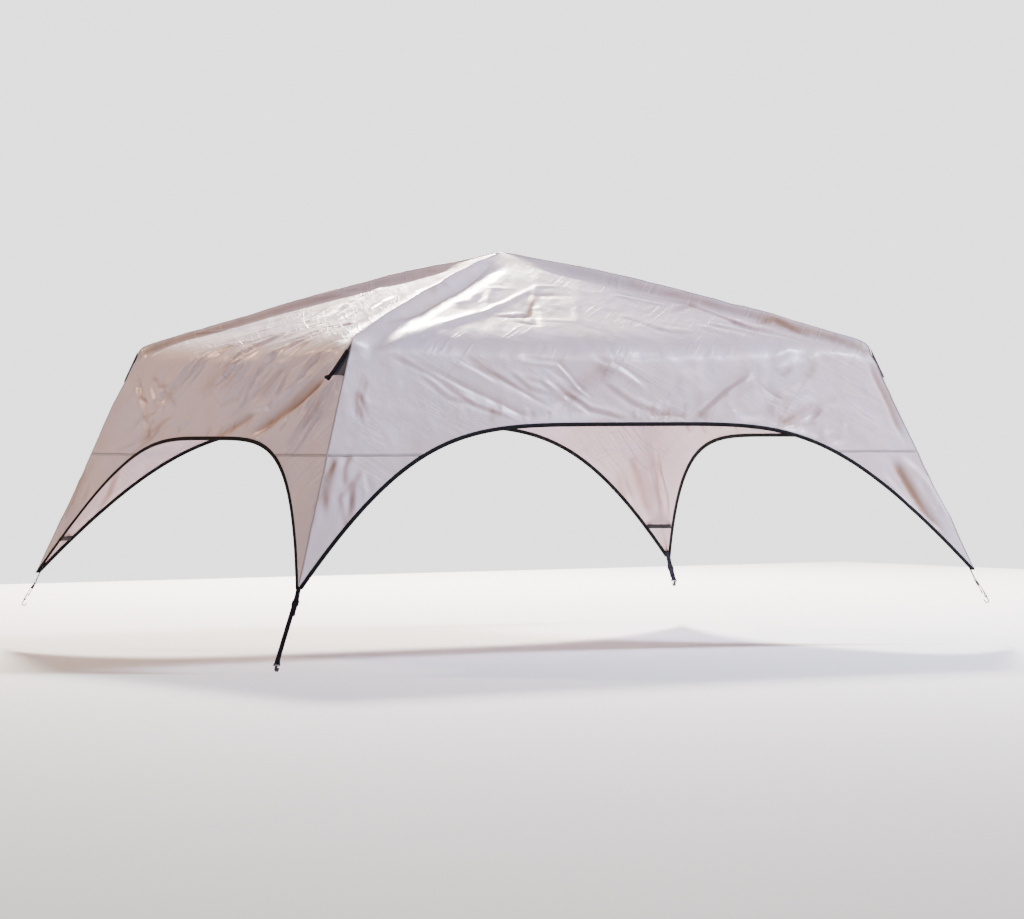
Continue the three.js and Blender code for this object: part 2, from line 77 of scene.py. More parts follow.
# ---------------------------------------------------------------- the canopy's cut
SHOULDER_X, SHOULDER_Y = 1.520, 1.085  # half sizes at the shoulders
ROOF_RISE = 0.490
LEG_DROP = 1.187
FLARE_X, FLARE_Y = 0.473, 0.293
CORNER_ROUND, EAVE_ROUND = 0.025, 0.085  # how softly roof turns into wall, at a corner and mid-wall
SEAM = 1.030  # drops below the peak
HEM_END = 1.637
ARCH = {"wide": (0.406, 4.6), "narrow": (0.467, 4.0)}
APEX = 0.0047
FACES = ("front", "right", "back", "left")
CORNERS = ("front_left", "front_right", "back_right", "back_left")  # each starts the face of its number
WEB_WIDTH, WEB_THICK, PLY_GAP = 0.025, 0.0016, 0.0004
BAR = 0.005
EYE_TURN = BAR / math.sqrt(2) + WEB_THICK / 2 + 0.00046
MIDDLE_BAR = 2 * (EYE_TURN + WEB_THICK / 2) + 0.001


def smoothstep(value, low, high):
    share = np.clip((np.asarray(value, float) - low) / (high - low), 0, 1)
    return share * share * (3 - 2 * share)


def half_size(drop, shoulder, flare, rounding):
    roof, leg = shoulder / ROOF_RISE, flare / LEG_DROP
    past = drop - ROOF_RISE
    turn = (roof - leg) * (rounding - past) ** 2 / (4 * rounding)
    wall = shoulder + leg * past
    return np.where(past <= -rounding, roof * drop, np.where(past >= rounding, wall, wall - turn))


def sizes_of(face):
    """Half sizes of a face, across it and out to it, with their flares."""
    x, y = (SHOULDER_X, FLARE_X), (SHOULDER_Y, FLARE_Y)
    return (x, y) if face % 2 == 0 else (y, x)


def arch_of(face):
    return ARCH["wide" if face % 2 == 0 else "narrow"]


def hem_drop(face, u):
    drop, power = arch_of(face)
    return ROOF_RISE + drop + (LEG_DROP - drop) * np.abs(u) ** power


def hem_share(face, drop):
    top, power = arch_of(face)
    return np.clip((drop - ROOF_RISE - top) / (LEG_DROP - top), 0, None) ** (1 / power)


def turned(face, points):
    """Points of the front face, turned round to another."""
    c, s = [(1, 0), (0, 1), (-1, 0), (0, -1)][face % 4]
    x, y, z = points[..., 0], points[..., 1], points[..., 2]
    return np.stack([c * x - s * y, s * x + c * y, z], -1)


def width_at(face, drop):
    across = sizes_of(face)[0]
    return half_size(drop, *across, CORNER_ROUND)


def plain_point(face, u, drop):
    """The smooth canopy: u runs from -1 to 1 across a face, drop down from the peak."""
    u, drop = np.broadcast_arrays(np.asarray(u, float), np.asarray(drop, float))
    out = sizes_of(face)[1]
    rounding = CORNER_ROUND + (EAVE_ROUND - CORNER_ROUND) * np.clip(1 - u * u, 0, 1) ** 0.5
    x = u * width_at(face, drop)
    y = -half_size(drop, *out, rounding)
    roof = np.clip(drop / ROOF_RISE, 0, 1)
    bow = 4 * roof * (1 - roof)
    lift = bow * (HIP_BOW * np.abs(u) ** 4 - ROOF_SAG * (1 - u * u))
    sag = (
        EAVE_SAG * np.clip(1 - u * u, 0, 1) * smoothstep(drop, 0.35, 0.55)
        * (1 - smoothstep(drop, 0.7, 0.95))
    )
    return turned(face, np.stack([x, y, APEX - drop + lift - sag], -1))


HIP_BOW, ROOF_SAG, EAVE_SAG = 0.022, 0.010, 0.012


def plain_normal(face, u, drop):
    step = 1e-3
    down = plain_point(face, u, drop + step) - plain_point(face, u, np.maximum(drop - step, 1e-4))
    across = plain_point(face, u + step, drop) - plain_point(face, u - step, drop)
    normal = np.cross(down, across)
    return normal / np.maximum(np.linalg.norm(normal, axis=-1, keepdims=True), 1e-12)


def even_normal(face, u, drop):
    """The face's normal, turned towards its neighbour's near a corner, so both meet."""
    u, drop = np.broadcast_arrays(np.asarray(u, float), np.asarray(drop, float))
    drop = np.maximum(drop, 0.02)
    own = plain_normal(face, u, drop)
    edge = 0.999 * np.ones_like(u)
    right = plain_normal(face, edge, drop) + plain_normal((face + 1) % 4, -edge, drop)
    left = plain_normal(face, -edge, drop) + plain_normal((face + 3) % 4, edge, drop)
    corner = np.where((u > 0)[..., None], right, left)
    corner /= np.linalg.norm(corner, axis=-1, keepdims=True)
    near = smoothstep(np.abs(u), 0.86, 1.0)[..., None]
    normal = own * (1 - near) + corner * near
    return normal / np.linalg.norm(normal, axis=-1, keepdims=True)


# ---------------------------------------------------------------- wrinkles and folds
def lumps(points, size, seed):
    """Smooth random values from -1 to 1, in lumps of that size. size may be three numbers."""
    table = np.random.default_rng(seed).uniform(-1, 1, (16, 16, 16))
    place = points / np.asarray(size, float) + 64
    cell = np.floor(place).astype(int)
    t = place - cell
    t = t * t * (3 - 2 * t)
    total = 0
    for corner in range(8):
        step = np.array([corner & 1, corner >> 1 & 1, corner >> 2 & 1])
        weight = np.where(step, t, 1 - t).prod(-1)
        i, j, k = np.moveaxis((cell + step) % 16, -1, 0)
        total = total + weight * table[i, j, k]
    return total


def wall_path(face, points):
    """Points given as metres across a face and drop below the peak, as points on the canopy."""
    place = np.array(points, float)
    return plain_point(face, place[:, 0] / width_at(face, place[:, 1]), place[:, 1])


# Each fold: the points it runs through, its width, its height (in is negative), how it is shaped,
# and how much painted warm shade it lays on the cloth along it.
FOLDS = {
    "front": [
        ([(-0.96, 0.53), (-0.45, 0.81)], 0.012, -0.008, "crease", 0.3),
        ([(-0.67, 0.48), (-0.32, 0.68)], 0.012, -0.008, "crease", 0.2),
        ([(-1.26, 0.56), (-0.51, 0.89)], 0.014, -0.010, "crease", 0.3),
        ([(-0.05, 0.39), (-0.05, 0.57), (0.04, 0.55), (0.27, 0.54)], 0.014, -0.007, "crease", 0.1),
        ([(-0.05, 0.57), (-0.28, 0.70), (-0.50, 0.83)], 0.045, -0.013, "fold", 0.45),
        ([(0.78, 0.62), (0.60, 0.71), (0.36, 0.87)], 0.020, -0.014, "step", 0.4),
        ([(0.75, 0.65), (0.95, 0.78)], 0.012, -0.005, "crease", 0.1),
        ([(1.21, 0.53), (0.82, 0.62)], 0.022, -0.006, "step", 0.1),
        ([(0.88, 0.91), (1.16, 0.77)], 0.024, -0.011, "step", 0.45),
        ([(0.34, 0.87), (0.20, 0.84), (0.08, 0.88)], 0.024, -0.008, "fold", 0.5),
        ([(-0.30, 0.88), (0.0, 0.855), (0.45, 0.875)], 0.030, -0.003, "fold", 0.35),
        ([(1.54, 1.04), (1.66, 1.24), (1.77, 1.40), (1.86, 1.50)], 0.030, -0.016, "fold", 0.9),
        ([(1.66, 1.06), (1.79, 1.26), (1.90, 1.46)], 0.026, 0.010, "fold", 0.0),
        ([(1.50, 0.56), (1.60, 0.78), (1.67, 1.00)], 0.022, -0.012, "fold", 0.8),
        ([(-1.30, 0.43), (-0.95, 0.34), (-0.50, 0.20), (-0.05, 0.03)], 0.022, -0.015, "crease", 0.35),
        ([(-1.20, 0.47), (-0.70, 0.36), (-0.25, 0.25)], 0.040, 0.008, "fold", 0.0),
        ([(-1.05, 0.44), (-0.55, 0.33), (0.02, 0.17)], 0.020, 0.006, "fold", 0.0),
    ],
    "left": [
        ([(0.45, 0.50), (0.11, 0.77)], 0.012, -0.007, "step", 0.25),
        ([(0.20, 0.46), (0.09, 0.60), (-0.06, 0.72)], 0.014, -0.006, "step", 0.2),
        ([(0.75, 0.52), (0.48, 0.63), (0.17, 0.80)], 0.020, 0.009, "step", 0.15),
        ([(0.99, 0.62), (0.70, 0.79), (0.45, 0.92), (0.36, 0.97)], 0.038, -0.022, "fold", 1.0),
        ([(0.84, 0.62), (0.55, 0.76), (0.33, 0.88)], 0.026, 0.010, "fold", 0.0),
        ([(0.40, 0.81), (0.11, 0.94), (0.04, 0.98)], 0.026, -0.014, "fold", 0.8),
        ([(-0.87, 0.62), (-0.41, 0.80)], 0.010, -0.005, "crease", 0.2),
        ([(-0.45, 0.82), (-0.73, 0.97)], 0.016, 0.008, "step", 0.3),
        ([(-0.18, 0.70), (0.03, 0.80)], 0.008, -0.004, "crease", 0.1),
        ([(-1.02, 0.60), (-0.72, 0.86), (-0.60, 0.98)], 0.022, -0.008, "fold", 0.3),
    ],
    "back": [
        ([(1.0, 0.54), (0.5, 0.84)], 0.014, -0.007, "crease", 0.2),
        ([(-1.2, 0.55), (-0.6, 0.80)], 0.020, -0.009, "step", 0.2),
        ([(0.1, 0.40), (0.05, 0.60), (-0.2, 0.80)], 0.030, -0.008, "fold", 0.2),
        ([(-1.60, 1.04), (-1.72, 1.26), (-1.82, 1.44)], 0.030, -0.013, "fold", 0.6),
    ],
    "right": [
        ([(-0.95, 0.62), (-0.45, 0.92)], 0.034, -0.014, "fold", 0.6),
        ([(0.8, 0.52), (0.3, 0.80)], 0.018, -0.008, "step", 0.2),
        ([(0.2, 0.42), (0.0, 0.56), (-0.3, 0.66)], 0.014, -0.006, "crease", 0.1),
        ([(1.15, 1.04), (1.24, 1.26), (1.30, 1.44)], 0.026, -0.011, "fold", 0.6),
    ],
}

# Each family of wrinkles: where they start, which way they run, how many, how wide and how high.
# Starts and ways are metres across and drop, each with its spread.
WRINKLES = {
    "front": [
        ((-0.75, 0.60, 0.62, 0.10), (0.42, 0.20), 12, 0.012, 0.0030, "step"),
        ((-0.55, 0.33, 0.35, 0.07), (0.45, -0.13), 10, 0.022, 0.0040, "fold"),
        ((0.55, 0.28, 0.40, 0.10), (0.45, 0.11), 12, 0.016, 0.0030, "step"),
        ((0.85, 0.62, 0.45, 0.12), (-0.28, 0.17), 10, 0.022, 0.0045, "step"),
        ((1.20, 0.86, 0.22, 0.10), (-0.18, 0.10), 12, 0.012, 0.0040, "step"),
        ((-1.62, 1.08, 0.12, 0.10), (-0.12, 0.32), 8, 0.014, 0.0040, "step"),
        ((-1.50, 0.66, 0.08, 0.08), (-0.03, 0.28), 6, 0.014, 0.0035, "fold"),
        ((0.00, 0.87, 1.00, 0.02), (0.03, -0.09), 26, 0.014, 0.0028, "fold"),
        ((1.58, 1.08, 0.10, 0.08), (0.14, 0.30), 5, 0.014, 0.0040, "step"),
    ],
    "left": [
        ((0.35, 0.54, 0.75, 0.08), (-0.30, 0.22), 30, 0.014, 0.0085, "step"),
        ((0.05, 0.42, 0.70, 0.05), (-0.20, 0.10), 14, 0.018, 0.0065, "step"),
        ((-0.85, 0.66, 0.18, 0.10), (0.26, 0.15), 10, 0.012, 0.0045, "step"),
        ((-0.50, 0.84, 0.30, 0.08), (-0.30, 0.15), 10, 0.013, 0.0060, "step"),
        ((1.02, 0.68, 0.10, 0.10), (-0.16, 0.28), 14, 0.011, 0.0060, "step"),
        ((0.00, 0.93, 0.75, 0.02), (0.03, -0.08), 20, 0.013, 0.0030, "fold"),
        ((1.24, 1.10, 0.08, 0.10), (0.05, 0.34), 7, 0.012, 0.0035, "step"),
        ((-1.20, 1.06, 0.10, 0.10), (-0.08, 0.34), 7, 0.013, 0.0045, "step"),
        ((0.00, 0.22, 0.30, 0.12), (0.14, 0.06), 14, 0.016, 0.0035, "step"),
    ],
    "back": [
        ((0.30, 0.58, 1.10, 0.10), (0.30, 0.20), 26, 0.015, 0.0045, "step"),
        ((0.00, 0.30, 0.70, 0.12), (-0.35, 0.12), 20, 0.018, 0.0035, "step"),
        ((0.00, 0.87, 1.00, 0.02), (0.03, -0.09), 26, 0.014, 0.0028, "fold"),
        ((1.62, 1.08, 0.10, 0.10), (0.12, 0.32), 6, 0.014, 0.0040, "step"),
        ((-1.62, 1.08, 0.10, 0.10), (-0.12, 0.32), 6, 0.014, 0.0040, "step"),
    ],
    "right": [
        ((-0.10, 0.56, 0.80, 0.08), (0.28, 0.20), 24, 0.014, 0.0050, "step"),
        ((0.00, 0.26, 0.40, 0.12), (0.20, 0.08), 16, 0.016, 0.0035, "step"),
        ((0.00, 0.93, 0.75, 0.02), (0.03, -0.08), 20, 0.013, 0.0030, "fold"),
        ((1.22, 1.08, 0.10, 0.10), (0.08, 0.34), 6, 0.013, 0.0040, "step"),
        ((-1.22, 1.08, 0.10, 0.10), (-0.08, 0.34), 6, 0.013, 0.0040, "step"),
    ],
}


def all_folds(settings):
    """Every fold on the canopy, as (face, path, width, height, shape, painted shade)."""
    found = []
    for name, folds in FOLDS.items():
        face = FACES.index(name)
        for points, width, height, shape, painted_shade in folds:
            found.append((face, wall_path(face, points), width, height * settings.fold_depth, shape, painted_shade))
    for name, families in WRINKLES.items():
        face = FACES.index(name)
        random = np.random.default_rng(40 + face)
        for (x, drop, spread_x, spread_drop), way, count, width, height, shape in families:
            for _ in range(count):
                start = np.array([x, drop]) + random.uniform(-1, 1, 2) * (spread_x, spread_drop)
                run = np.array(way) * random.uniform(0.45, 1.25)
                bend = np.array([-run[1], run[0]]) * random.normal(0, 0.12)
                path = [start, start + run / 2 + bend, start + run]
                if min(point[1] for point in path) < 0.03:
                    continue
                wide = width * random.uniform(0.7, 1.5)
                high = (
                    height * random.uniform(0.5, 1.4) * settings.wrinkle_depth
                    * random.choice((-1, 1), p=(0.6, 0.4))
                )
                # wrinkles that go in get painted shade in their hollow
                painted_shade = 0.6 * random.uniform(0.2, 1) if high < 0 else 0
                found.append((face, wall_path(face, path), wide, high, shape, painted_shade))
    return found


def hip_relief(points, face, u, drop):
    """A pole under each hip holds the cloth up in a roll, with a slack valley on both sides of it; painted
    shade is laid in the valley beside each hip.
    """
    height = np.zeros(len(points))
    painted_shade = np.zeros(len(points))
    for k, name in enumerate(CORNERS):
        shares = np.linspace(0, 1, 13)
        line = plain_point(k, -1.0, shares * ROOF_RISE)
        gap, along, _ = distance_to(points, line, np.array([0.0, 0.0, 1.0]))
        fade = smoothstep(along, 0.04, 0.2) * (1 - smoothstep(drop, ROOF_RISE - 0.01, ROOF_RISE + 0.10))
        roll = 0.012 * np.exp(-((gap / 0.035) ** 2))
        valley = 0.016 * np.exp(-(((gap - 0.085) / 0.045) ** 2))
        height += fade * (roll - valley)
        # how strong the painted shade beside each hip is
        strength = {"front_left": 0.25, "back_left": 0.9, "front_right": 1.0, "back_right": 0.8}[name]
        uneven = 0.75 + 0.35 * lumps(points, 0.25, 70 + k)
        shoulder = smoothstep(along, 0.2, 0.75)
        painted_shade += strength * uneven * shoulder * fade * np.exp(-(((gap - 0.040) / 0.026) ** 2))
    # painted warm shade on the left wall near the back-left corner, standing in for shade and warm light coming
    # through the cloth
    if face == 3:
        strip = smoothstep(-u, 0.80, 0.98) * smoothstep(drop, 0.62, 0.95)
        painted_shade += 0.22 * strip * (0.8 + 0.4 * lumps(points, 0.2, 75))
    return height, painted_shade


def distance_to(points, path, normal):
    """Distance to a path, how far along it the nearest place is (0 to 1), and which side."""
    lengths = np.linalg.norm(np.diff(path, axis=0), axis=1)
    total = lengths.sum()
    best = np.full(len(points), 1e9)
    along = np.zeros(len(points))
    side = np.zeros(len(points))
    done = 0.0
    for a, b, length in zip(path[:-1], path[1:], lengths):
        way = (b - a) / length
        run = np.clip((points - a) @ way, 0, length)
        away = points - a - run[:, None] * way
        gap = np.linalg.norm(away, axis=1)
        nearer = gap < best
        best = np.where(nearer, gap, best)
        along = np.where(nearer, (done + run) / total, along)
        side = np.where(nearer, away @ np.cross(way, normal), side)
        done += length
    return best, along, side


def relief(points, face, u, drop, folds):
    """How far the cloth stands off the smooth canopy, and how much painted shade it carries."""
    height, painted_shade = hip_relief(points, face, u, drop)
    for _, path, width, high, shape, shade_weight in folds:
        reach = 4 * width
        near = ((points > path.min(0) - reach) & (points < path.max(0) + reach)).all(1)
        if not near.any():
            continue
        normal = fold_normal(path)
        gap, along, side = distance_to(points[near], path, normal)
        ends = smoothstep(along, 0, 0.22) * (1 - smoothstep(along, 0.72, 1.0))
        if shape == "crease":
            form = np.exp(-np.sqrt(gap**2 + 0.002**2) / width)
        elif shape == "step":
            ratio = side / width
            form = ratio * np.exp(0.5 - ratio**2 / 2) * np.exp(-((gap / (3 * width)) ** 2))
        else:
            form = np.exp(-((gap / width) ** 2))
        height[near] += high * ends * form
        # painted shade along the fold's middle
        if shade_weight:
            painted_shade[near] += shade_weight * ends * np.exp(-((gap / (0.9 * width)) ** 2))
    calm = smoothstep(drop, 0.0, 0.12) * (1 - 0.9 * smoothstep(drop, 1.34, 1.50))
    above_hem = np.minimum(
        hem_drop(face, u) - drop,
        (np.abs(u) - hem_share(face, drop)) * width_at(face, drop) + 9 * (drop < SEAM - 0.14),
    )
    calm = calm * (0.12 + 0.88 * smoothstep(above_hem, 0.018, 0.075))
    wave = 0.007 * lumps(points, 0.42, 3) + 0.0035 * lumps(points, 0.16, 4) + 0.0014 * lumps(points, 0.055, 5)
    # the painted shade is weaker near the tips
    return (height + wave) * calm, np.clip(painted_shade, 0, 1) * (1 - 0.6 * smoothstep(drop, 1.45, 1.6))


def fold_normal(path):
    """Outward from the canopy's middle, near a path."""
    middle = path.mean(0) - np.array([0.0, 0.0, -0.9])
    return middle / np.linalg.norm(middle)


_folds = {}


def cloth_point(face, u, drop, inset=0.0):
    """Points of the wrinkled canopy, set in by a thickness, with how much painted shade each carries."""
    u, drop = np.broadcast_arrays(np.asarray(u, float), np.asarray(drop, float))
    shape = u.shape
    u, drop = u.ravel(), drop.ravel()
    if "all" not in _folds:
        _folds["all"] = all_folds(bpy.context.scene.canopy_sizes)
    points = plain_point(face, u, drop)
    height, painted_shade = relief(points, face, u, drop, _folds["all"])
    normal = even_normal(face, u, drop)
    points = points + normal * (height - inset)[:, None]
    rounded = np.hypot(points[:, 0], points[:, 1])
    points[:, 2] -= 0.006 * np.exp(-((rounded / 0.05) ** 2))
    return points.reshape(*shape, 3), painted_shade.reshape(shape)


# ---------------------------------------------------------------- the cloth's grid
SEAM_HALF = 0.0065  # half a sewn seam's width


def edge_offsets(width):
    """Distances in from a corner of the columns beside its seam."""
    second = np.minimum(0.020, 0.3 * width)
    return SEAM_HALF / 0.020 * second, second


def panel_grid(face, pitch):
    """u and drop of a roof and wall panel's points, rows down from the peak."""
    open_share = hem_share(face, SEAM)
    wide = width_at(face, SEAM)
    inner = 1 - edge_offsets(wide)[1] / wide
    leg_start = open_share / inner
    arch_columns = int(round(2 * open_share * wide / pitch / 2)) * 2
    leg_columns = int(round((inner - open_share) * wide / pitch))
    leg = np.linspace(leg_start, 1, leg_columns + 1)
    middle = np.linspace(-leg_start, leg_start, arch_columns + 1)
    v = np.concatenate([-leg[::-1], middle[1:-1], leg])
    slope = math.hypot(math.hypot(SHOULDER_X, SHOULDER_Y), ROOF_RISE)
    roof_rows = int(round(slope / pitch / 1.25))
    roof = np.linspace(0, ROOF_RISE - EAVE_ROUND, roof_rows - 6)
    eave = np.linspace(ROOF_RISE - EAVE_ROUND, ROOF_RISE + EAVE_ROUND, 17)[1:]
    wall_rows = int(round((SEAM - ROOF_RISE - EAVE_ROUND) / pitch))
    top = eave[-1]
    rows = []
    columns = np.concatenate([[-2.0, -1.5], v, [1.5, 2.0]])
    for drop in np.concatenate([roof, eave]):
        rows.append((columns_at(face, columns, drop), np.full(len(columns), drop)))
    low = np.full(len(columns), SEAM)
    inside = np.abs(columns) < leg_start + 1e-9
    for _ in range(6):
        low[inside] = hem_drop(face, columns_at(face, columns, low)[inside])
    low = np.minimum(low, SEAM)
    shares = np.linspace(0, 1, wall_rows)[1:]
    for share in shares:
        drop = top + (low - SEAM_HALF - top) * share
        rows.append((columns_at(face, columns, drop), drop))
    rows.append((columns_at(face, columns, low), low))
    u = np.array([row[0] for row in rows])
    drop = np.array([row[1] for row in rows])
    return u, drop, np.flatnonzero(inside)


def columns_at(face, columns, drop):
    """Turns column places into u: within 1 they share the panel, 1.5 and 2 are the seam's edge and middle."""
    wide = np.maximum(width_at(face, drop), 1e-4)
    first, second = edge_offsets(wide)
    inner = 1 - second / wide
    u = columns * inner
    u = np.where(np.abs(columns) == 1.5, np.sign(columns) * (1 - first / wide), u)
    return np.where(np.abs(columns) == 2.0, np.sign(columns), u)


def leg_grid(face, side, pitch):
    """u and drop of half a leg below the level seam, columns from the hem to the corner."""
    wide = width_at(face, SEAM)
    inner = 1 - edge_offsets(wide)[1] / wide
    count = int(round((inner - hem_share(face, SEAM)) * wide / pitch))
    rows = int(round((HEM_END - SEAM) / pitch))
    drops = np.concatenate([[SEAM, SEAM + SEAM_HALF], np.linspace(SEAM, HEM_END, rows)[1:]])
    share = np.linspace(0, 1, count + 1)
    u, drop = [], []
    for d in drops:
        wide = width_at(face, d)
        edge = hem_share(face, d)
        first, second = edge_offsets((1 - edge) * wide)
        inner = 1 - second / wide
        row = np.concatenate([edge + share * (inner - edge), [1 - first / wide, 1.0]])
        u.append(side * row)
        drop.append(np.full(len(row), d))
    return np.array(u), np.array(drop)


# ---------------------------------------------------------------- mesh helpers
def made(name, verts, faces, uvs=None, smooth=True):
    """An object from points and faces. uvs, in metres, are one for each point."""
    mesh = bpy.data.meshes.new(name)
    mesh.from_pydata([tuple(v) for v in verts], [], [tuple(f) for f in faces])
    if uvs is not None:
        layer = mesh.uv_layers.new(name="Metres")
        index = np.zeros(len(mesh.loops), int)
        mesh.loops.foreach_get("vertex_index", index)
        layer.data.foreach_set("uv", np.asarray(uvs, np.float32)[index].ravel())
    mesh.polygons.foreach_set("use_smooth", [smooth] * len(mesh.polygons))
    obj = bpy.data.objects.new(name, mesh)
    bpy.context.scene.collection.objects.link(obj)
    return obj


def quads(rows, columns, start=0, closed=False):
    """Faces of a grid of points, counted row by row."""
    last = columns if closed else columns - 1
    i, j = np.meshgrid(np.arange(rows - 1), np.arange(last), indexing="ij")
    a = start + i * columns + j
    b = start + i * columns + (j + 1) % columns
    return np.stack([a, a + columns, b + columns, b], -1).reshape(-1, 4)


def finish_piece(obj, body, material, slot, *replaced):
    obj.data.materials.clear()
    obj.data.materials.append(material)
    if replaced:
        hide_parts(*replaced)
    if body:
        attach(obj, body)
    return obj


def thickened(obj, thickness, offset=-1.0):
    modifier = obj.modifiers.new("Thickness", "SOLIDIFY")
    modifier.thickness = thickness
    modifier.offset = offset
    modifier.use_even_offset = False
    return obj


def swept(name, centres, across, up, section):
    """A closed bar through points: its section is drawn in across and up, with rounded ends' caps."""
    centres, across, up = (np.asarray(a, float) for a in (centres, across, up))
    section = np.asarray(section, float)
    rings = centres[:, None] + section[None, :, :1] * across[:, None] + section[None, :, 1:] * up[:, None]
    rows, columns = rings.shape[:2]
    along = np.concatenate([[0], np.cumsum(np.linalg.norm(np.diff(centres, axis=0), axis=1))])
    uvs = np.stack(np.broadcast_arrays(section[None, :, 0], along[:, None]), -1)
    faces = [tuple(f) for f in quads(rows, columns, closed=True)]
    faces.append(tuple(range(columns)))
    faces.append(tuple(range(rows * columns - 1, (rows - 1) * columns - 1, -1)))
    obj = made(name, rings.reshape(-1, 3), faces, uvs.reshape(-1, 2))
    mesh = bmesh.new()
    mesh.from_mesh(obj.data)
    bmesh.ops.recalc_face_normals(mesh, faces=mesh.faces)
    mesh.to_mesh(obj.data)
    mesh.free()
    return obj


def flat_section(width, thick, rows=8):
    """A webbing's section: flat, with round edges, enough points across it to show ribs."""
    half, deep = width / 2, thick / 2
    flat = np.linspace(-half + deep, half - deep, rows)
    turn = np.linspace(-math.pi / 2, math.pi / 2, 5)[1:-1]
    right = [(half - deep + deep * math.cos(a), deep * math.sin(a)) for a in turn]
    left = [(-half + deep - deep * math.cos(a), -deep * math.sin(a)) for a in turn]
    return [(x, -deep) for x in flat] + right + [(x, deep) for x in flat[::-1]] + left


def eased(path, pitch):
    """A path with points about pitch apart, kept where it turns."""
    path = np.asarray(path, float)
    points = [path[0]]
    for a, b in zip(path[:-1], path[1:]):
        count = max(1, int(round(np.linalg.norm(b - a) / pitch)))
        points += [a + (b - a) * i / count for i in range(1, count + 1)]
    return np.array(points)


def arc(x, y, radius, start, stop, steps=12):
    angles = np.radians(np.linspace(start, stop, steps + 1))
    return [(x + radius * math.cos(a), y + radius * math.sin(a)) for a in angles]


def webbing(name, path, origin, along, out, wide, width=WEB_WIDTH, thick=WEB_THICK, pitch=0.004):
    """Flat webbing whose middle runs along a path drawn in along and out, as wide as width along wide."""
    flat = eased(path, pitch)
    origin, along, out, wide = (np.asarray(v, float) for v in (origin, along, out, wide))
    centres = origin + flat[:, :1] * along + flat[:, 1:] * out
    way = np.gradient(centres, axis=0)
    way /= np.maximum(np.linalg.norm(way, axis=1, keepdims=True), 1e-9)
    across = np.repeat(wide[None], len(centres), 0)
    up = np.cross(across, way)
    return swept(name, centres, across, up, flat_section(width, thick))


def stitches(name, lines, origin, along, wide, out, pitch=0.0028, radius=0.00022):
    """Rows of thread along lines drawn in along and wide, standing a little proud of the webbing."""
    origin, along, wide, out = (np.asarray(v, float) for v in (origin, along, wide, out))
    verts, faces = [], []
    for (x0, y0), (x1, y1) in lines:
        start, stop = np.array([x0, y0]), np.array([x1, y1])
        length = np.linalg.norm(stop - start)
        count = max(1, int(length / pitch))
        way = (stop - start) / length
        for i in range(count):
            a = start + way * (i + 0.12) * length / count
            b = start + way * (i + 0.88) * length / count
            world = way[0] * along + way[1] * wide
            side = np.cross(world, out)
            for t, lift, size in ((0, -1.2, 0.6), (0.2, 0.3, 1), (0.8, 0.3, 1), (1, -1.2, 0.6)):
                centre = a + (b - a) * t
                middle = origin + centre[0] * along + centre[1] * wide + out * radius * lift
                for k in range(6):
                    angle = k * math.pi / 3
                    verts.append(middle + radius * size * (math.cos(angle) * side + math.sin(angle) * out))
            first = len(verts) - 24
            faces += [tuple(f) for f in quads(4, 6, first, closed=True)]
            faces += [tuple(range(first, first + 6)), tuple(range(first + 23, first + 17, -1))]
    return made(name, verts, faces)


def box_and_cross(start, stop, half):
    """The lines of a box of stitching with a cross in it."""
    a, b, c, d = (start, -half), (stop, -half), (stop, half), (start, half)
    return [(a, b), (b, c), (c, d), (d, a), (a, c), (b, d)]


# ---------------------------------------------------------------- shader groups
def node_group(name, inputs, outputs):
    group = bpy.data.node_groups.new(name, "ShaderNodeTree")
    for label, kind, value in inputs:
        socket = group.interface.new_socket(label, in_out="INPUT", socket_type=kind)
        if value is not None:
            socket.default_value = value
    for label, kind in outputs:
        group.interface.new_socket(label, in_out="OUTPUT", socket_type=kind)
    return group, group.nodes.new("NodeGroupInput"), group.nodes.new("NodeGroupOutput")


class Tree:
    """Small helper to place and link shader nodes."""

    def __init__(self, tree):
        self.tree = tree

    def node(self, kind, values=None, **links):
        node = self.tree.nodes.new(kind)
        for key, value in (values or {}).items():
            if hasattr(node, key):
                setattr(node, key, value)
            else:
                node.inputs[key].default_value = value
        for key, socket in links.items():
            self.tree.links.new(socket, node.inputs[key.replace("_", " ")])
        return node

    def math(self, operation, a, b=None, clamp=False):
        node = self.tree.nodes.new("ShaderNodeMath")
        node.operation = operation
        node.use_clamp = clamp
        for i, value in enumerate((a, b)):
            if value is None:
                continue
            if isinstance(value, (int, float)):
                node.inputs[i].default_value = value
            else:
                self.tree.links.new(value, node.inputs[i])
        return node.outputs[0]

    def mix(self, share, a, b):
        node = self.tree.nodes.new("ShaderNodeMix")
        node.data_type = "RGBA"
        for key, value in (("Factor", share), ("A", a), ("B", b)):
            kind = "VALUE" if key == "Factor" else "RGBA"
            socket = next(s for s in node.inputs if s.name == key and s.type == kind)
            if isinstance(value, bpy.types.NodeSocket):
                self.tree.links.new(value, socket)
            else:
                socket.default_value = value
        return next(s for s in node.outputs if s.type == "RGBA")

    def ramp(self, value, low, high):
        node = self.tree.nodes.new("ShaderNodeMapRange")
        node.interpolation_type = "SMOOTHSTEP"
        node.inputs["From Min"].default_value = low
        node.inputs["From Max"].default_value = high
        self.tree.links.new(value, node.inputs["Value"])
        return node.outputs["Result"]


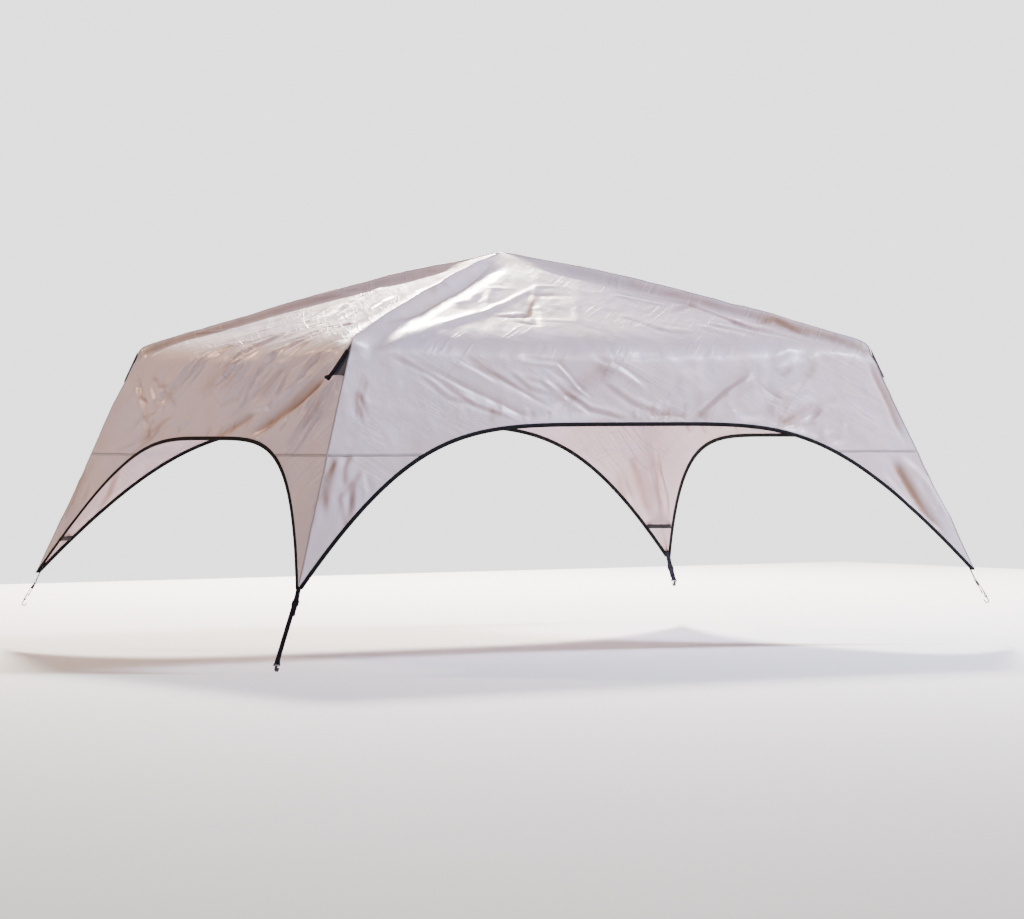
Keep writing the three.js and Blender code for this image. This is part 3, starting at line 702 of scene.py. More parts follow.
def weave_group():
    """Over and under threads of a plain weave, from UVs in metres."""
    group, given, out = node_group(
        "Woven threads",
        [
            ("Vector", "NodeSocketVector", None), ("Across", "NodeSocketFloat", 0.001),
            ("Along", "NodeSocketFloat", 0.001),
        ],
        [("Height", "NodeSocketFloat")],
    )
    t = Tree(group)
    split = t.node("ShaderNodeSeparateXYZ", Vector=given.outputs["Vector"])
    waves = []
    for axis, pitch in (("X", "Across"), ("Y", "Along")):
        turns = t.math("DIVIDE", split.outputs[axis], given.outputs[pitch])
        waves.append(t.math("SINE", t.math("MULTIPLY", turns, math.pi)))
    under = t.math("MULTIPLY", waves[0], waves[1])
    group.links.new(
        t.math("ABSOLUTE", t.math("ADD", t.math("MULTIPLY", under, 0.6), t.math("MULTIPLY", waves[0], 0.4))),
        out.inputs["Height"],
    )
    return group


def crinkle_group():
    """Creases of cloth that has been packed away: long thin ridges that run one way, in patches."""
    group, given, out = node_group(
        "Packed creases",
        [
            ("Vector", "NodeSocketVector", None),
            ("Slant", "NodeSocketFloat", 0.7),
            ("Width", "NodeSocketFloat", 0.03),
            ("Length", "NodeSocketFloat", 0.25),
            ("Sharp", "NodeSocketFloat", 0.5),
        ],
        [("Height", "NodeSocketFloat")],
    )
    t = Tree(group)
    turned_way = t.node(
        "ShaderNodeVectorRotate", {"rotation_type": "Z_AXIS"}, Vector=given.outputs["Vector"],
        Angle=given.outputs["Slant"],
    )
    size = t.node("ShaderNodeCombineXYZ", {"Z": 1.0}, X=given.outputs["Length"], Y=given.outputs["Width"])
    place = t.node("ShaderNodeVectorMath", {"operation": "DIVIDE"})
    group.links.new(turned_way.outputs[0], place.inputs[0])
    group.links.new(size.outputs[0], place.inputs[1])
    streaks = t.node(
        "ShaderNodeTexNoise", {"Scale": 1.0, "Detail": 2.5, "Roughness": 0.5, "Distortion": 0.35},
        Vector=place.outputs[0],
    )
    away = t.math("ABSOLUTE", t.math("SUBTRACT", streaks.outputs["Fac"], 0.5))
    ridge = t.math("SUBTRACT", 1.0, t.ramp(away, 0.0, 0.060))
    patchy = t.node("ShaderNodeTexNoise", {"Scale": 2.6, "Detail": 1.0}, Vector=given.outputs["Vector"])
    where = t.ramp(patchy.outputs["Fac"], 0.40, 0.62)
    sharp = t.math("MULTIPLY", t.math("MULTIPLY", ridge, where), given.outputs["Sharp"])
    group.links.new(t.math("ADD", streaks.outputs["Fac"], sharp), out.inputs["Height"])
    return group


def stitch_group():
    """One row of thread at a place across, from UVs in metres."""
    group, given, out = node_group(
        "Stitch row",
        [
            ("Vector", "NodeSocketVector", None), ("Place", "NodeSocketFloat", 0.0),
            ("Pitch", "NodeSocketFloat", 0.003),
        ],
        [("Mask", "NodeSocketFloat")],
    )
    t = Tree(group)
    split = t.node("ShaderNodeSeparateXYZ", Vector=given.outputs["Vector"])
    off = t.math("ABSOLUTE", t.math("SUBTRACT", split.outputs["X"], given.outputs["Place"]))
    across = t.math("SUBTRACT", 1.0, t.ramp(off, 0.00025, 0.0006))
    turn = t.math("FRACT", t.math("DIVIDE", split.outputs["Y"], given.outputs["Pitch"]))
    middle = t.math("ABSOLUTE", t.math("SUBTRACT", turn, 0.5))
    along = t.math("SUBTRACT", 1.0, t.ramp(middle, 0.30, 0.42))
    group.links.new(t.math("MULTIPLY", across, along), out.inputs["Mask"])
    return group


def wear_group():
    """Patchy fading and dust: one mask of broad patches and one of fine specks."""
    group, given, out = node_group(
        "Fading and dust",
        [
            ("Vector", "NodeSocketVector", None), ("Patch", "NodeSocketFloat", 0.3),
            ("Speck", "NodeSocketFloat", 0.004),
        ],
        [("Patches", "NodeSocketFloat"), ("Specks", "NodeSocketFloat")],
    )
    t = Tree(group)
    broad = t.node(
        "ShaderNodeTexNoise", {"Detail": 3.0, "Roughness": 0.6},
        Vector=given.outputs["Vector"], Scale=t.math("DIVIDE", 1.0, given.outputs["Patch"]),
    )
    fine = t.node(
        "ShaderNodeTexNoise", {"Detail": 2.0},
        Vector=given.outputs["Vector"], Scale=t.math("DIVIDE", 1.0, given.outputs["Speck"]),
    )
    group.links.new(t.ramp(broad.outputs["Fac"], 0.32, 0.68), out.inputs["Patches"])
    group.links.new(t.ramp(fine.outputs["Fac"], 0.56, 0.74), out.inputs["Specks"])
    return group


GROUPS = {}


def group_node(t, name, **links):
    node = t.tree.nodes.new("ShaderNodeGroup")
    node.node_tree = GROUPS[name]
    for key, value in links.items():
        if isinstance(value, bpy.types.NodeSocket):
            t.tree.links.new(value, node.inputs[key])
        else:
            node.inputs[key].default_value = value
    return node


def new_material(name, **values):
    material = bpy.data.materials.new(name)
    material.use_nodes = True
    shader = material.node_tree.nodes["Principled BSDF"]
    for key, value in values.items():
        shader.inputs[key.replace("_", " ")].default_value = value
    return material, shader, Tree(material.node_tree)


def rgba(colour):
    return (*colour, 1.0)


def bump(t, shader, height, distance, strength=1.0):
    node = t.node("ShaderNodeBump", {"Distance": distance, "Strength": strength}, Height=height)
    t.tree.links.new(node.outputs[0], shader.inputs["Normal"])
    return node


def canopy_material(name, colour, second, fold_shade_colour):
    """Coated polyester: a satin face with crinkles and some translucency; folds and hip valleys get a painted
    warm brown shade in the base colour.
    """
    material, shader, t = new_material(
        name, Specular_IOR_Level=0.5, Coat_Weight=0.20, Coat_Roughness=0.20, Sheen_Weight=0.08,
    )
    place = t.node("ShaderNodeTexCoord")
    uv = place.outputs["UV"]
    spot = place.outputs["Object"]
    wear = group_node(t, "Fading and dust", Vector=spot, Patch=0.34, Speck=0.006)
    rising = group_node(t, "Packed creases", Vector=uv, Slant=-0.72, Width=0.090, Length=0.80, Sharp=0.38)
    falling = group_node(t, "Packed creases", Vector=uv, Slant=0.50, Width=0.060, Length=0.50, Sharp=0.40)
    soft = t.node("ShaderNodeTexNoise", {"Scale": 14.0, "Detail": 3.0}, Vector=spot)
    weave = group_node(t, "Woven threads", Vector=uv, Across=0.0006, Along=0.0006)
    # painted shade: the base colour turns to the fold colour where the painted shade attribute is set
    painted_shade = t.node("ShaderNodeAttribute", {"attribute_name": "painted_fold_shade"})
    base = t.mix(wear.outputs["Patches"], rgba(colour), rgba(second))
    fold_darkening = t.math("MULTIPLY", painted_shade.outputs["Fac"], 0.85)
    base = t.mix(fold_darkening, base, rgba(fold_shade_colour))
    t.tree.links.new(base, shader.inputs["Base Color"])
    rough = t.math("ADD", t.math("MULTIPLY", wear.outputs["Patches"], 0.10), 0.36)
    t.tree.links.new(
        t.math("ADD", rough, t.math("MULTIPLY", wear.outputs["Specks"], 0.06)), shader.inputs["Roughness"],
    )
    creased = t.node("ShaderNodeAttribute", {"attribute_name": "creasing"})
    height = t.math("ADD", rising.outputs["Height"], t.math("MULTIPLY", falling.outputs["Height"], 0.5))
    height = t.math("MULTIPLY", height, creased.outputs["Fac"])
    height = t.math("ADD", height, t.math("MULTIPLY", soft.outputs["Fac"], 0.5))
    height = t.math("ADD", height, t.math("MULTIPLY", weave.outputs["Height"], 0.012))
    bump(t, shader, height, 0.0075)
    through = t.node("ShaderNodeBsdfTranslucent")
    glow = t.mix(0.55, base, (1.0, 0.58, 0.32, 1.0))
    t.tree.links.new(glow, through.inputs["Color"])
    both = t.node("ShaderNodeMixShader", {"Fac": 0.20})
    t.tree.links.new(shader.outputs[0], both.inputs[1])
    t.tree.links.new(through.outputs[0], both.inputs[2])
    output = next(n for n in t.tree.nodes if n.type == "OUTPUT_MATERIAL")
    t.tree.links.new(both.outputs[0], output.inputs["Surface"])
    return material


def woven_material(
    name, colour, light, across, along, depth, rows=(), pitch=0.003, thread=(0.05, 0.05, 0.055), rough=0.78,
    specular=0.2,
):
    """Tape, webbing or cloth with a visible weave whose raised threads are lightened as a painted highlight, a
    little fading, and rows of stitching.
    """
    material, shader, t = new_material(name, Specular_IOR_Level=specular)
    place = t.node("ShaderNodeTexCoord")
    uv = place.outputs["UV"]
    wear = group_node(t, "Fading and dust", Vector=place.outputs["Object"], Patch=0.06, Speck=0.0022)
    weave = group_node(t, "Woven threads", Vector=uv, Across=across, Along=along)
    faded = t.math("MULTIPLY", t.math("ADD", wear.outputs["Patches"], wear.outputs["Specks"]), 0.45)
    base = t.mix(faded, rgba(colour), rgba(light))
    # painted highlight: the weave's raised threads are mixed towards the light colour
    base = t.mix(t.math("MULTIPLY", weave.outputs["Height"], 0.35), base, rgba(light))
    height = t.math("MULTIPLY", weave.outputs["Height"], 1.0)
    for place_across in rows:
        row = group_node(t, "Stitch row", Vector=uv, Place=place_across, Pitch=pitch)
        base = t.mix(row.outputs["Mask"], base, rgba(thread))
        height = t.math("ADD", height, t.math("MULTIPLY", row.outputs["Mask"], 1.6))
    t.tree.links.new(base, shader.inputs["Base Color"])
    t.tree.links.new(
        t.math("ADD", rough, t.math("MULTIPLY", wear.outputs["Specks"], 0.1)), shader.inputs["Roughness"],
    )
    bump(t, shader, height, depth)
    return material


def plastic_material(name, colour, light):
    """Moulded plastic: fine grain, rubbed lighter in patches."""
    material, shader, t = new_material(name, Specular_IOR_Level=0.5)
    place = t.node("ShaderNodeTexCoord").outputs["Object"]
    wear = group_node(t, "Fading and dust", Vector=place, Patch=0.012, Speck=0.0012)
    grain = t.node("ShaderNodeTexNoise", {"Scale": 2600.0, "Detail": 2.0}, Vector=place)
    rubbed = t.math("MULTIPLY", t.math("ADD", wear.outputs["Patches"], wear.outputs["Specks"]), 0.4)
    t.tree.links.new(t.mix(rubbed, rgba(colour), rgba(light)), shader.inputs["Base Color"])
    t.tree.links.new(
        t.math("ADD", 0.34, t.math("MULTIPLY", wear.outputs["Patches"], 0.18)), shader.inputs["Roughness"],
    )
    bump(t, shader, grain.outputs["Fac"], 0.00012)
    return material


MATERIALS = {}


def make_materials(colours):
    GROUPS["Woven threads"] = weave_group()
    GROUPS["Packed creases"] = crinkle_group()
    GROUPS["Stitch row"] = stitch_group()
    GROUPS["Fading and dust"] = wear_group()
    cloth = tuple(colours.cloth)
    second = tuple(colours.cloth_second)
    # the colour of the painted shade in folds and hip valleys
    fold = tuple(colours.cloth_fold_shade)
    black = tuple(colours.tape)
    # grey: the tape's faded colour, also used for its painted thread highlight
    grey = tuple(min(1.0, c * 2.5 + 0.006) for c in black)
    navy = tuple(colours.webbing)
    MATERIALS["cloth"] = canopy_material("Coated canopy cloth", cloth, second, fold)
    MATERIALS["seam"] = woven_material(
        "Felled seam", tuple(c * 0.50 for c in second), tuple(c * 0.66 for c in second), 0.0006, 0.0006,
        0.0003,
        rows=(-0.0042, 0.0042), thread=tuple(c * 0.55 for c in second), rough=0.5,
    )
    MATERIALS["patch"] = woven_material(
        "Patch cloth", tuple(c * 0.72 for c in cloth), second, 0.0009, 0.0009, 0.0004, rough=0.6,
    )
    MATERIALS["tape"] = woven_material(
        "Hem binding", black, grey, 0.0011, 0.0016, 0.0003, rows=(0.0130,), thread=(0.035, 0.035, 0.04),
        rough=0.9, specular=0.08,
    )
    MATERIALS["webbing"] = woven_material(
        "Ribbed webbing", navy, tuple(c * 2.2 + 0.006 for c in navy), 0.0016, 0.0024, 0.0004, rough=0.85,
        specular=0.10,
    )
    MATERIALS["fin"] = woven_material(
        "Fin cloth", tuple(colours.fin), tuple(c * 1.6 for c in colours.fin), 0.0007, 0.0007, 0.0003,
        rough=0.55,
    )
    MATERIALS["touch"] = woven_material(
        "Touch tape", (0.012, 0.012, 0.014), (0.05, 0.05, 0.055), 0.0012, 0.0012, 0.0009, rough=0.9,
    )
    MATERIALS["thread"] = woven_material(
        "Thread", (0.05, 0.055, 0.075), (0.12, 0.12, 0.14), 0.0004, 0.0004, 0.0001,
    )
    MATERIALS["plastic"] = plastic_material("Moulded plastic", (0.009, 0.009, 0.011), (0.035, 0.035, 0.04))


# ---------------------------------------------------------------- cloth pieces
_grids = {}
CREASING = (0.40, 0.8, 0.8, 1.0)  # how creased each face is


def cloth_grids(pitch):
    """Points, painted shade and UVs of all panels and legs, worked out once."""
    if _grids:
        return _grids
    for face in range(4):
        u, drop, arch = panel_grid(face, pitch)
        _grids["panel", face] = grid_of(face, u, drop)
        _grids["arch", face] = arch
        for side in (-1, 1):
            _grids["leg", face, side] = grid_of(face, *leg_grid(face, side, pitch))
    return _grids


def grid_of(face, u, drop):
    points, painted_shade = cloth_point(face, u, drop)
    slope = math.hypot(1, sizes_of(face)[1][0] / ROOF_RISE)
    down = np.where(drop < ROOF_RISE, drop * slope, ROOF_RISE * (slope - 1) + drop)
    uv = np.stack([u * width_at(face, drop) + 5 * face, -down], -1)
    creasing = np.full(u.shape, CREASING[face]) * smoothstep(drop, 0.0, 0.2)
    return {"points": points, "painted_shade": painted_shade, "uv": uv, "u": u, "drop": drop, "creasing": creasing}


def build_cloth(sizes):
    grids = cloth_grids(sizes.cloth_pitch)
    verts, uvs, painted_shades, creasing, faces = [], [], [], [], []
    start = 0
    for key, grid in grids.items():
        if key[0] == "arch":
            continue
        rows, columns = grid["u"].shape
        verts.append(grid["points"].reshape(-1, 3))
        uvs.append(grid["uv"].reshape(-1, 2))
        painted_shades.append(grid["painted_shade"].ravel())
        creasing.append(grid["creasing"].ravel())
        found = quads(rows, columns, start)
        faces.append(found[:, ::-1] if key[0] == "leg" and key[2] > 0 else found)
        start += rows * columns
    verts, uvs, faces = np.concatenate(verts), np.concatenate(uvs), np.concatenate(faces)
    obj = made("canopy_sheet", verts, faces, uvs)
    # the painted shade is stored on each point for the cloth material
    for name, values in (("painted_fold_shade", painted_shades), ("creasing", creasing)):
        attribute = obj.data.attributes.new(name, "FLOAT", "POINT")
        attribute.data.foreach_set("value", np.concatenate(values).astype(np.float32))
    mesh = bmesh.new()
    mesh.from_mesh(obj.data)
    bmesh.ops.remove_doubles(mesh, verts=mesh.verts, dist=2e-5)
    bmesh.ops.recalc_face_normals(mesh, faces=mesh.faces)
    mesh.to_mesh(obj.data)
    mesh.free()
    top = max(obj.data.polygons, key=lambda p: p.center.z)
    if top.normal.z < 0:
        obj.data.flip_normals()
    thickened(obj, sizes.cloth_thickness)
    nodes = ["panel_" + name for name in FACES]
    for k, corner in enumerate(CORNERS):
        nodes += [f"leg_{corner}_{FACES[k]}_half", f"leg_{corner}_{FACES[k - 1]}_half"]
    return finish_piece(obj, "canopy", MATERIALS["cloth"], "canopy_cloth", *nodes)


def hem_stations(face):
    """The cloth's points along a face's hem from one tip to the other, with a point a little inside each."""
    left, right = _grids["leg", face, -1]["points"], _grids["leg", face, 1]["points"]
    panel = _grids["panel", face]["points"]
    arch = _grids["arch", face]
    edge = [left[i, 0] for i in range(len(left) - 1, 0, -1)]
    inside = [left[i, 1] for i in range(len(left) - 1, 0, -1)]
    edge += [panel[-1, j] for j in arch]
    inside += [panel[-3, j] for j in arch]
    edge += [right[i, 0] for i in range(1, len(right))]
    inside += [right[i, 1] for i in range(1, len(right))]
    return np.array(edge), np.array(inside)


def binding(name, edge, inside, outward, sizes, cover):
    """A tape folded over a cloth edge: edge and inside are points on and beside it."""
    way = np.gradient(edge, axis=0)
    way /= np.linalg.norm(way, axis=1, keepdims=True)
    inward = inside - edge
    inward -= (inward * way).sum(1, keepdims=True) * way
    inward /= np.linalg.norm(inward, axis=1, keepdims=True)
    inward[1:-1] = (inward[:-2] + 2 * inward[1:-1] + inward[2:]) / 4
    inward /= np.linalg.norm(inward, axis=1, keepdims=True)
    out = np.cross(inward, way)
    out /= np.linalg.norm(out, axis=1, keepdims=True)
    if out[len(out) // 2] @ outward < 0:
        out = -out
    lip, gap, thick = 0.0023, 0.0009, 0.0008
    low = -sizes.cloth_thickness - gap
    outer = [(cover, gap + thick), (cover * 0.5, gap + thick * 1.15), (0.001, gap + thick)]
    turn = [(-lip * 0.7, gap + thick * 0.4), (-lip, (gap + low) / 2), (-lip * 0.7, low - thick * 0.4)]
    under = [(0.001, low - thick), (cover * 0.5, low - thick * 1.15), (cover, low - thick)]
    inner = [(cover, low), (0.0, low), (-lip * 0.3, (gap + low) / 2), (0.0, gap), (cover, gap)]
    return swept(name, edge, inward, out, outer + turn + under + inner)


def build_hem_tapes(sizes):
    pieces = []
    for face, name in enumerate(FACES):
        outward = turned(face, np.array([0.0, -1.0, 0.0]))
        obj = binding("hem_binding_" + name, *hem_stations(face), outward, sizes, sizes.tape_cover)
        pieces.append(finish_piece(obj, "canopy", MATERIALS["tape"], "hem_tape", "hem_tape_" + name))
    for k, name in enumerate(CORNERS):
        before, after = _grids["leg", (k + 3) % 4, 1]["points"], _grids["leg", k, -1]["points"]
        edge = np.concatenate([before[-1], after[-1, ::-1][1:]])
        inside = np.concatenate([before[-3], after[-3, ::-1][1:]])
        outward = unit([edge[len(edge) // 2][0], edge[len(edge) // 2][1], 0.0])
        obj = binding("tip_binding_" + name, edge, inside, outward, sizes, 0.011)
        pieces.append(finish_piece(obj, "canopy", MATERIALS["tape"], "hem_tape"))
    return pieces


def strip_piece(name, rows, lift, thick, material, slot):
    """A sewn strip over rows of cloth points: three points to a row, its edges tucked down."""
    rows = np.asarray(rows, float)
    normal = np.cross(np.gradient(rows, axis=0), np.gradient(rows, axis=1))
    normal /= np.maximum(np.linalg.norm(normal, axis=2, keepdims=True), 1e-12)
    if (normal[:, 1] * (rows[:, 1] - np.array([0.0, 0.0, -1.2]))).sum() < 0:
        normal = -normal
    points = rows + normal * lift
    along = np.concatenate([[0], np.cumsum(np.linalg.norm(np.diff(rows[:, 1], axis=0), axis=1))])
    across = np.array([-SEAM_HALF, 0, SEAM_HALF])
    uvs = np.stack(np.broadcast_arrays(across[None], along[:, None]), -1)
    obj = made(name, points.reshape(-1, 3), quads(len(rows), 3), uvs.reshape(-1, 2))
    mesh = bmesh.new()
    mesh.from_mesh(obj.data)
    bmesh.ops.remove_doubles(mesh, verts=mesh.verts, dist=1e-5)
    bmesh.ops.recalc_face_normals(mesh, faces=mesh.faces)
    mesh.to_mesh(obj.data)
    mesh.free()
    middle = obj.data.polygons[len(obj.data.polygons) // 2]
    if middle.normal.dot(middle.center - Vector((0, 0, -1.2))) < 0:
        obj.data.flip_normals()
    thickened(obj, thick, 1.0)
    return finish_piece(obj, "canopy", material, slot)


def build_seams():
    """The sewn ridges down each hip and corner, and the level seam round each leg."""
    pieces = []
    for k, name in enumerate(CORNERS):
        before, after = _grids["panel", (k + 3) % 4]["points"], _grids["panel", k]["points"]
        rows = [[before[i, -2], before[i, -1], after[i, 1]] for i in range(2, len(before))]
        leg_before, leg_after = _grids["leg", (k + 3) % 4, 1]["points"], _grids["leg", k, -1]["points"]
        rows += [
            [leg_before[i, -2], leg_before[i, -1], leg_after[i, -2]]
            for i in range(1, len(leg_before) - 1)
        ]
        seam = strip_piece("corner_seam_" + name, rows, 0.0002, 0.0007, MATERIALS["seam"], "canopy_cloth")
        pieces.append(seam)
        for face, side, label in (((k + 3) % 4, 1, FACES[k - 1]), (k, -1, FACES[k])):
            panel, leg = _grids["panel", face]["points"], _grids["leg", face, side]["points"]
            count = leg.shape[1]
            columns = range(count - 2, 1, -1)
            level = []
            for c in columns:
                j = c - count if side > 0 else count - 1 - c
                level.append([panel[-2, j], panel[-1, j], leg[1, c]])
            pieces.append(
                strip_piece(
                    f"level_seam_{name}_{label}", level, 0.0002, 0.0006, MATERIALS["seam"], "canopy_cloth",
                )
            )
    return pieces


def build_patches(sizes):
    """Cloth patches inside the peak and the shoulders."""
    pieces = []
    inset = sizes.cloth_thickness + 0.0006
    for k, name in enumerate(CORNERS):
        drops = np.linspace(ROOF_RISE - 0.045, ROOF_RISE + 0.130, 22)
        parts = []
        for face, side in (((k + 3) % 4, 1), (k, -1)):
            wide = width_at(face, drops)
            far = np.linspace(0.125, 0, 14)
            u = side * (1 - far[None] / wide[:, None])
            points, _ = cloth_point(face, u, drops[:, None] * np.ones_like(u), inset)
            parts.append(points if side > 0 else points[:, ::-1])
        rows = np.concatenate([parts[0], parts[1][:, 1:]], 1)
        obj = sheet_from(f"shoulder_patch_cloth_{name}", rows)
        thickened(obj, 0.0007)
        patch = finish_piece(obj, "canopy", MATERIALS["patch"], "patch_cloth", "shoulder_patch_" + name)
        pieces.append(patch)
    rings = []
    for drop in np.linspace(0.001, 0.052, 10):
        ring = [cloth_point(face, np.linspace(-1, 1, 13)[:-1], drop, inset)[0] for face in range(4)]
        rings.append(np.concatenate(ring))
    rings = np.array(rings)
    count = rings.shape[1]
    uv = np.broadcast_to(rings[..., :2], rings.shape[:2] + (2,)).reshape(-1, 2)
    obj = made("peak_patch_cloth", rings.reshape(-1, 3), quads(len(rings), count, closed=True), uv)
    face_up(obj)
    thickened(obj, 0.0007)
    pieces.append(finish_piece(obj, "canopy", MATERIALS["patch"], "patch_cloth", "peak_patch"))
    return pieces


def face_up(obj):
    """Turns a sheet's faces to point away from the canopy's middle."""
    total = sum((p.normal.dot(p.center - Vector((0, 0, -1.2))) * p.area for p in obj.data.polygons), 0.0)
    if total < 0:
        obj.data.flip_normals()


def sheet_from(name, rows):
    """A sheet through rows of points, with UVs in metres."""
    rows = np.asarray(rows, float)
    across = np.concatenate([[0], np.cumsum(np.linalg.norm(np.diff(rows[len(rows) // 2], axis=0), axis=1))])
    middle_line = rows[:, rows.shape[1] // 2]
    down = np.concatenate([[0], np.cumsum(np.linalg.norm(np.diff(middle_line, axis=0), axis=1))])
    uvs = np.stack(np.broadcast_arrays(across[None], down[:, None]), -1).reshape(-1, 2)
    obj = made(name, rows.reshape(-1, 3), quads(*rows.shape[:2]), uvs)
    face_up(obj)
    return obj


# ---------------------------------------------------------------- corner hardware
def unit(vector):
    vector = np.asarray(vector, float)
    return vector / np.linalg.norm(vector)


def rig_of(corner):
    """The lock's pivot and the directions across, down and out of its strap."""
    swing = JOINTS["lock_swing_" + corner]
    wide = unit(swing["axis"])
    along = unit(JOINTS["strap_adjust_" + corner]["axis"])
    return np.array(swing["pos_m"]), wide, along, np.cross(wide, along)


def leg_down(corner):
    return unit(JOINTS["tie_hook_peel_" + corner]["axis"])


def rounded_copy(name, node, bevel):
    """A moulded piece: the frame's solid with its edges rounded."""
    obj = bpy.data.objects.new(name, frame["nodes"][node].data.copy())
    bpy.context.scene.collection.objects.link(obj)
    mesh = bmesh.new()
    mesh.from_mesh(obj.data)
    bmesh.ops.remove_doubles(mesh, verts=mesh.verts, dist=1e-6)
    bmesh.ops.dissolve_limit(mesh, angle_limit=math.radians(2), verts=mesh.verts, edges=mesh.edges)
    sharp = [e for e in mesh.edges if e.is_manifold and e.calc_face_angle() > math.radians(25)]
    bmesh.ops.bevel(
        mesh, geom=sharp, offset=bevel, segments=3, profile=0.6, affect="EDGES", clamp_overlap=True,
    )
    bmesh.ops.triangulate(mesh, faces=[f for f in mesh.faces if len(f.verts) > 4])
    mesh.to_mesh(obj.data)
    mesh.free()
    obj.data.polygons.foreach_set("use_smooth", [True] * len(obj.data.polygons))
    obj.data.set_sharp_from_angle(angle=math.radians(32))
    return obj


def build_hardware():
    pieces = []
    for corner in CORNERS:
        origin, wide, along, out = rig_of(corner)
        lock = rounded_copy("ladder_lock_" + corner, "lock_" + corner, 0.0006)
        finished = finish_piece(lock, "lock_" + corner, MATERIALS["plastic"], "black_plastic", "lock_" + corner)
        pieces.append(finished)
        lip = MIDDLE_BAR + EYE_TURN + WEB_THICK / 2 + BAR / 2 + 0.0042 + 0.0042
        for face in (-1, 1):
            for i in range(3):
                centre = origin + along * (lip + 0.0019 * i) + out * face * BAR / 2
                length = 0.0075 - 0.0004 * i
                ends = np.linspace(-length, length, 9)
                size = 0.00045 * np.sqrt(np.clip(1 - (ends / length) ** 8, 0.02, 1))
                angles = np.linspace(0, 2 * math.pi, 9)[:-1]
                rings = [
                    centre + wide * e + s * (np.cos(angles)[:, None] * along + np.sin(angles)[:, None] * out)
                    for e, s in zip(ends, size)
                ]
                rings = np.array(rings)
                faces = [tuple(f) for f in quads(9, 8, closed=True)] + [
                    tuple(range(8)), tuple(range(71, 63, -1)),
                ]
                label = f"lock_rib_{corner}_{'inner' if face < 0 else 'outer'}_{i}"
                rib = made(label, rings.reshape(-1, 3), faces)
                pieces.append(finish_piece(rib, "lock_" + corner, MATERIALS["plastic"], "black_plastic"))
        hook = rounded_copy("strap_hook_" + corner, "hook_" + corner, 0.0007)
        finished = finish_piece(hook, "hook_" + corner, MATERIALS["plastic"], "black_plastic", "hook_" + corner)
        pieces.append(finished)
    return pieces


def strap_length(corner):
    hook = np.array(JOINTS["hook_swing_" + corner]["pos_m"])
    return float(np.linalg.norm(hook - rig_of(corner)[0]))


def build_straps():
    """The tab at each tip, the strap from lock to hook, its tail, and their stitching."""
    pieces = []
    sewn, back, tail, radius = 0.034, 0.014, 0.062, 0.0013
    overlap = WEB_THICK + PLY_GAP - EYE_TURN
    for corner in CORNERS:
        origin, wide, along, out = rig_of(corner)
        down = leg_down(corner)
        level = wide
        tab_out = np.cross(level, down)
        ply = (WEB_THICK + PLY_GAP) / 2
        path = [
            (-0.095, -ply), (-0.022, -ply), *arc(0, 0, EYE_TURN, -110, 110, 14), (-0.022, ply), (-0.095, ply),
        ]
        tab = webbing("tip_tab_web_" + corner, path, origin, down, tab_out, level)
        pieces.append(finish_piece(tab, "canopy", MATERIALS["webbing"], "webbing", "tip_tab_" + corner))
        length = strap_length(corner)
        path = [
            (length - sewn, overlap),
            (length - sewn / 2, overlap),
            *arc(length, 0, EYE_TURN, 110, -90, 14),
            *arc(MIDDLE_BAR, 0, EYE_TURN, -90, -270, 14),
        ]
        strap = webbing("strap_web_" + corner, path, origin, along, out, wide)
        finish_piece(strap, None, MATERIALS["webbing"], "webbing", "strap_" + corner)
        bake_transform(strap)
        pieces.append(strap)
        lines = box_and_cross(length - sewn + 0.003, length - 0.011, 0.38 * WEB_WIDTH)
        thread = stitches(
            "strap_stitching_" + corner, lines, origin + out * (overlap + WEB_THICK / 2), along, wide, out
        )
        pieces.append(finish_piece(thread, "strap_" + corner, MATERIALS["thread"], "webbing"))
        thread = stitches(
            "strap_stitching_back_" + corner, lines, origin - out * (EYE_TURN + WEB_THICK / 2), along, wide,
            -out
        )
        pieces.append(finish_piece(thread, "strap_" + corner, MATERIALS["thread"], "webbing"))
        end = MIDDLE_BAR + tail
        path = [
            (MIDDLE_BAR + PLY_GAP, EYE_TURN),
            *arc(end, EYE_TURN + radius, radius, -90, 90, 8),
            (end - back, EYE_TURN + 2 * radius),
        ]
        free = webbing("tail_web_" + corner, path, origin, along, out, wide, pitch=0.003)
        finish_piece(free, None, MATERIALS["webbing"], "webbing", "tail_" + corner)
        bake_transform(free)
        pieces.append(free)
        lines = [((end - back + 0.002, y), (end - 0.002, y)) for y in (-0.0085, 0.0085)]
        top = origin + out * (EYE_TURN + 2 * radius + WEB_THICK / 2)
        thread = stitches("tail_stitching_" + corner, lines, top, along, wide, out)
        pieces.append(finish_piece(thread, "tail_" + corner, MATERIALS["thread"], "webbing"))
    return pieces


def build_ties():
    """The two halves of each leg tie, one over the other."""
    pieces = []
    for corner in CORNERS:
        down = leg_down(corner)
        for half in ("hook", "loop"):
            node = f"tie_{half}_{corner}"
            start = np.array(JOINTS[f"tie_{half}_peel_{corner}"]["pos_m"])
            verts = np.array([v.co for v in frame["nodes"][node].data.vertices], float)
            gap = np.linalg.norm(verts - start, axis=1)
            stop = verts[gap > gap.max() - 0.004].mean(0)
            start_middle = verts[gap < gap.min() + 0.004].mean(0)
            way = unit(stop - start_middle)
            out = np.cross(down, way)
            length = np.linalg.norm(stop - start_middle)
            path = [(length * s, 0.0) for s in np.linspace(0, 1, 14)]
            tie = webbing(
                f"leg_tie_{half}_{corner}", path, start_middle, way, out, down, width=0.026, thick=0.0015,
            )
            pieces.append(finish_piece(tie, node, MATERIALS["touch"], "touch_tape", node))
    return pieces


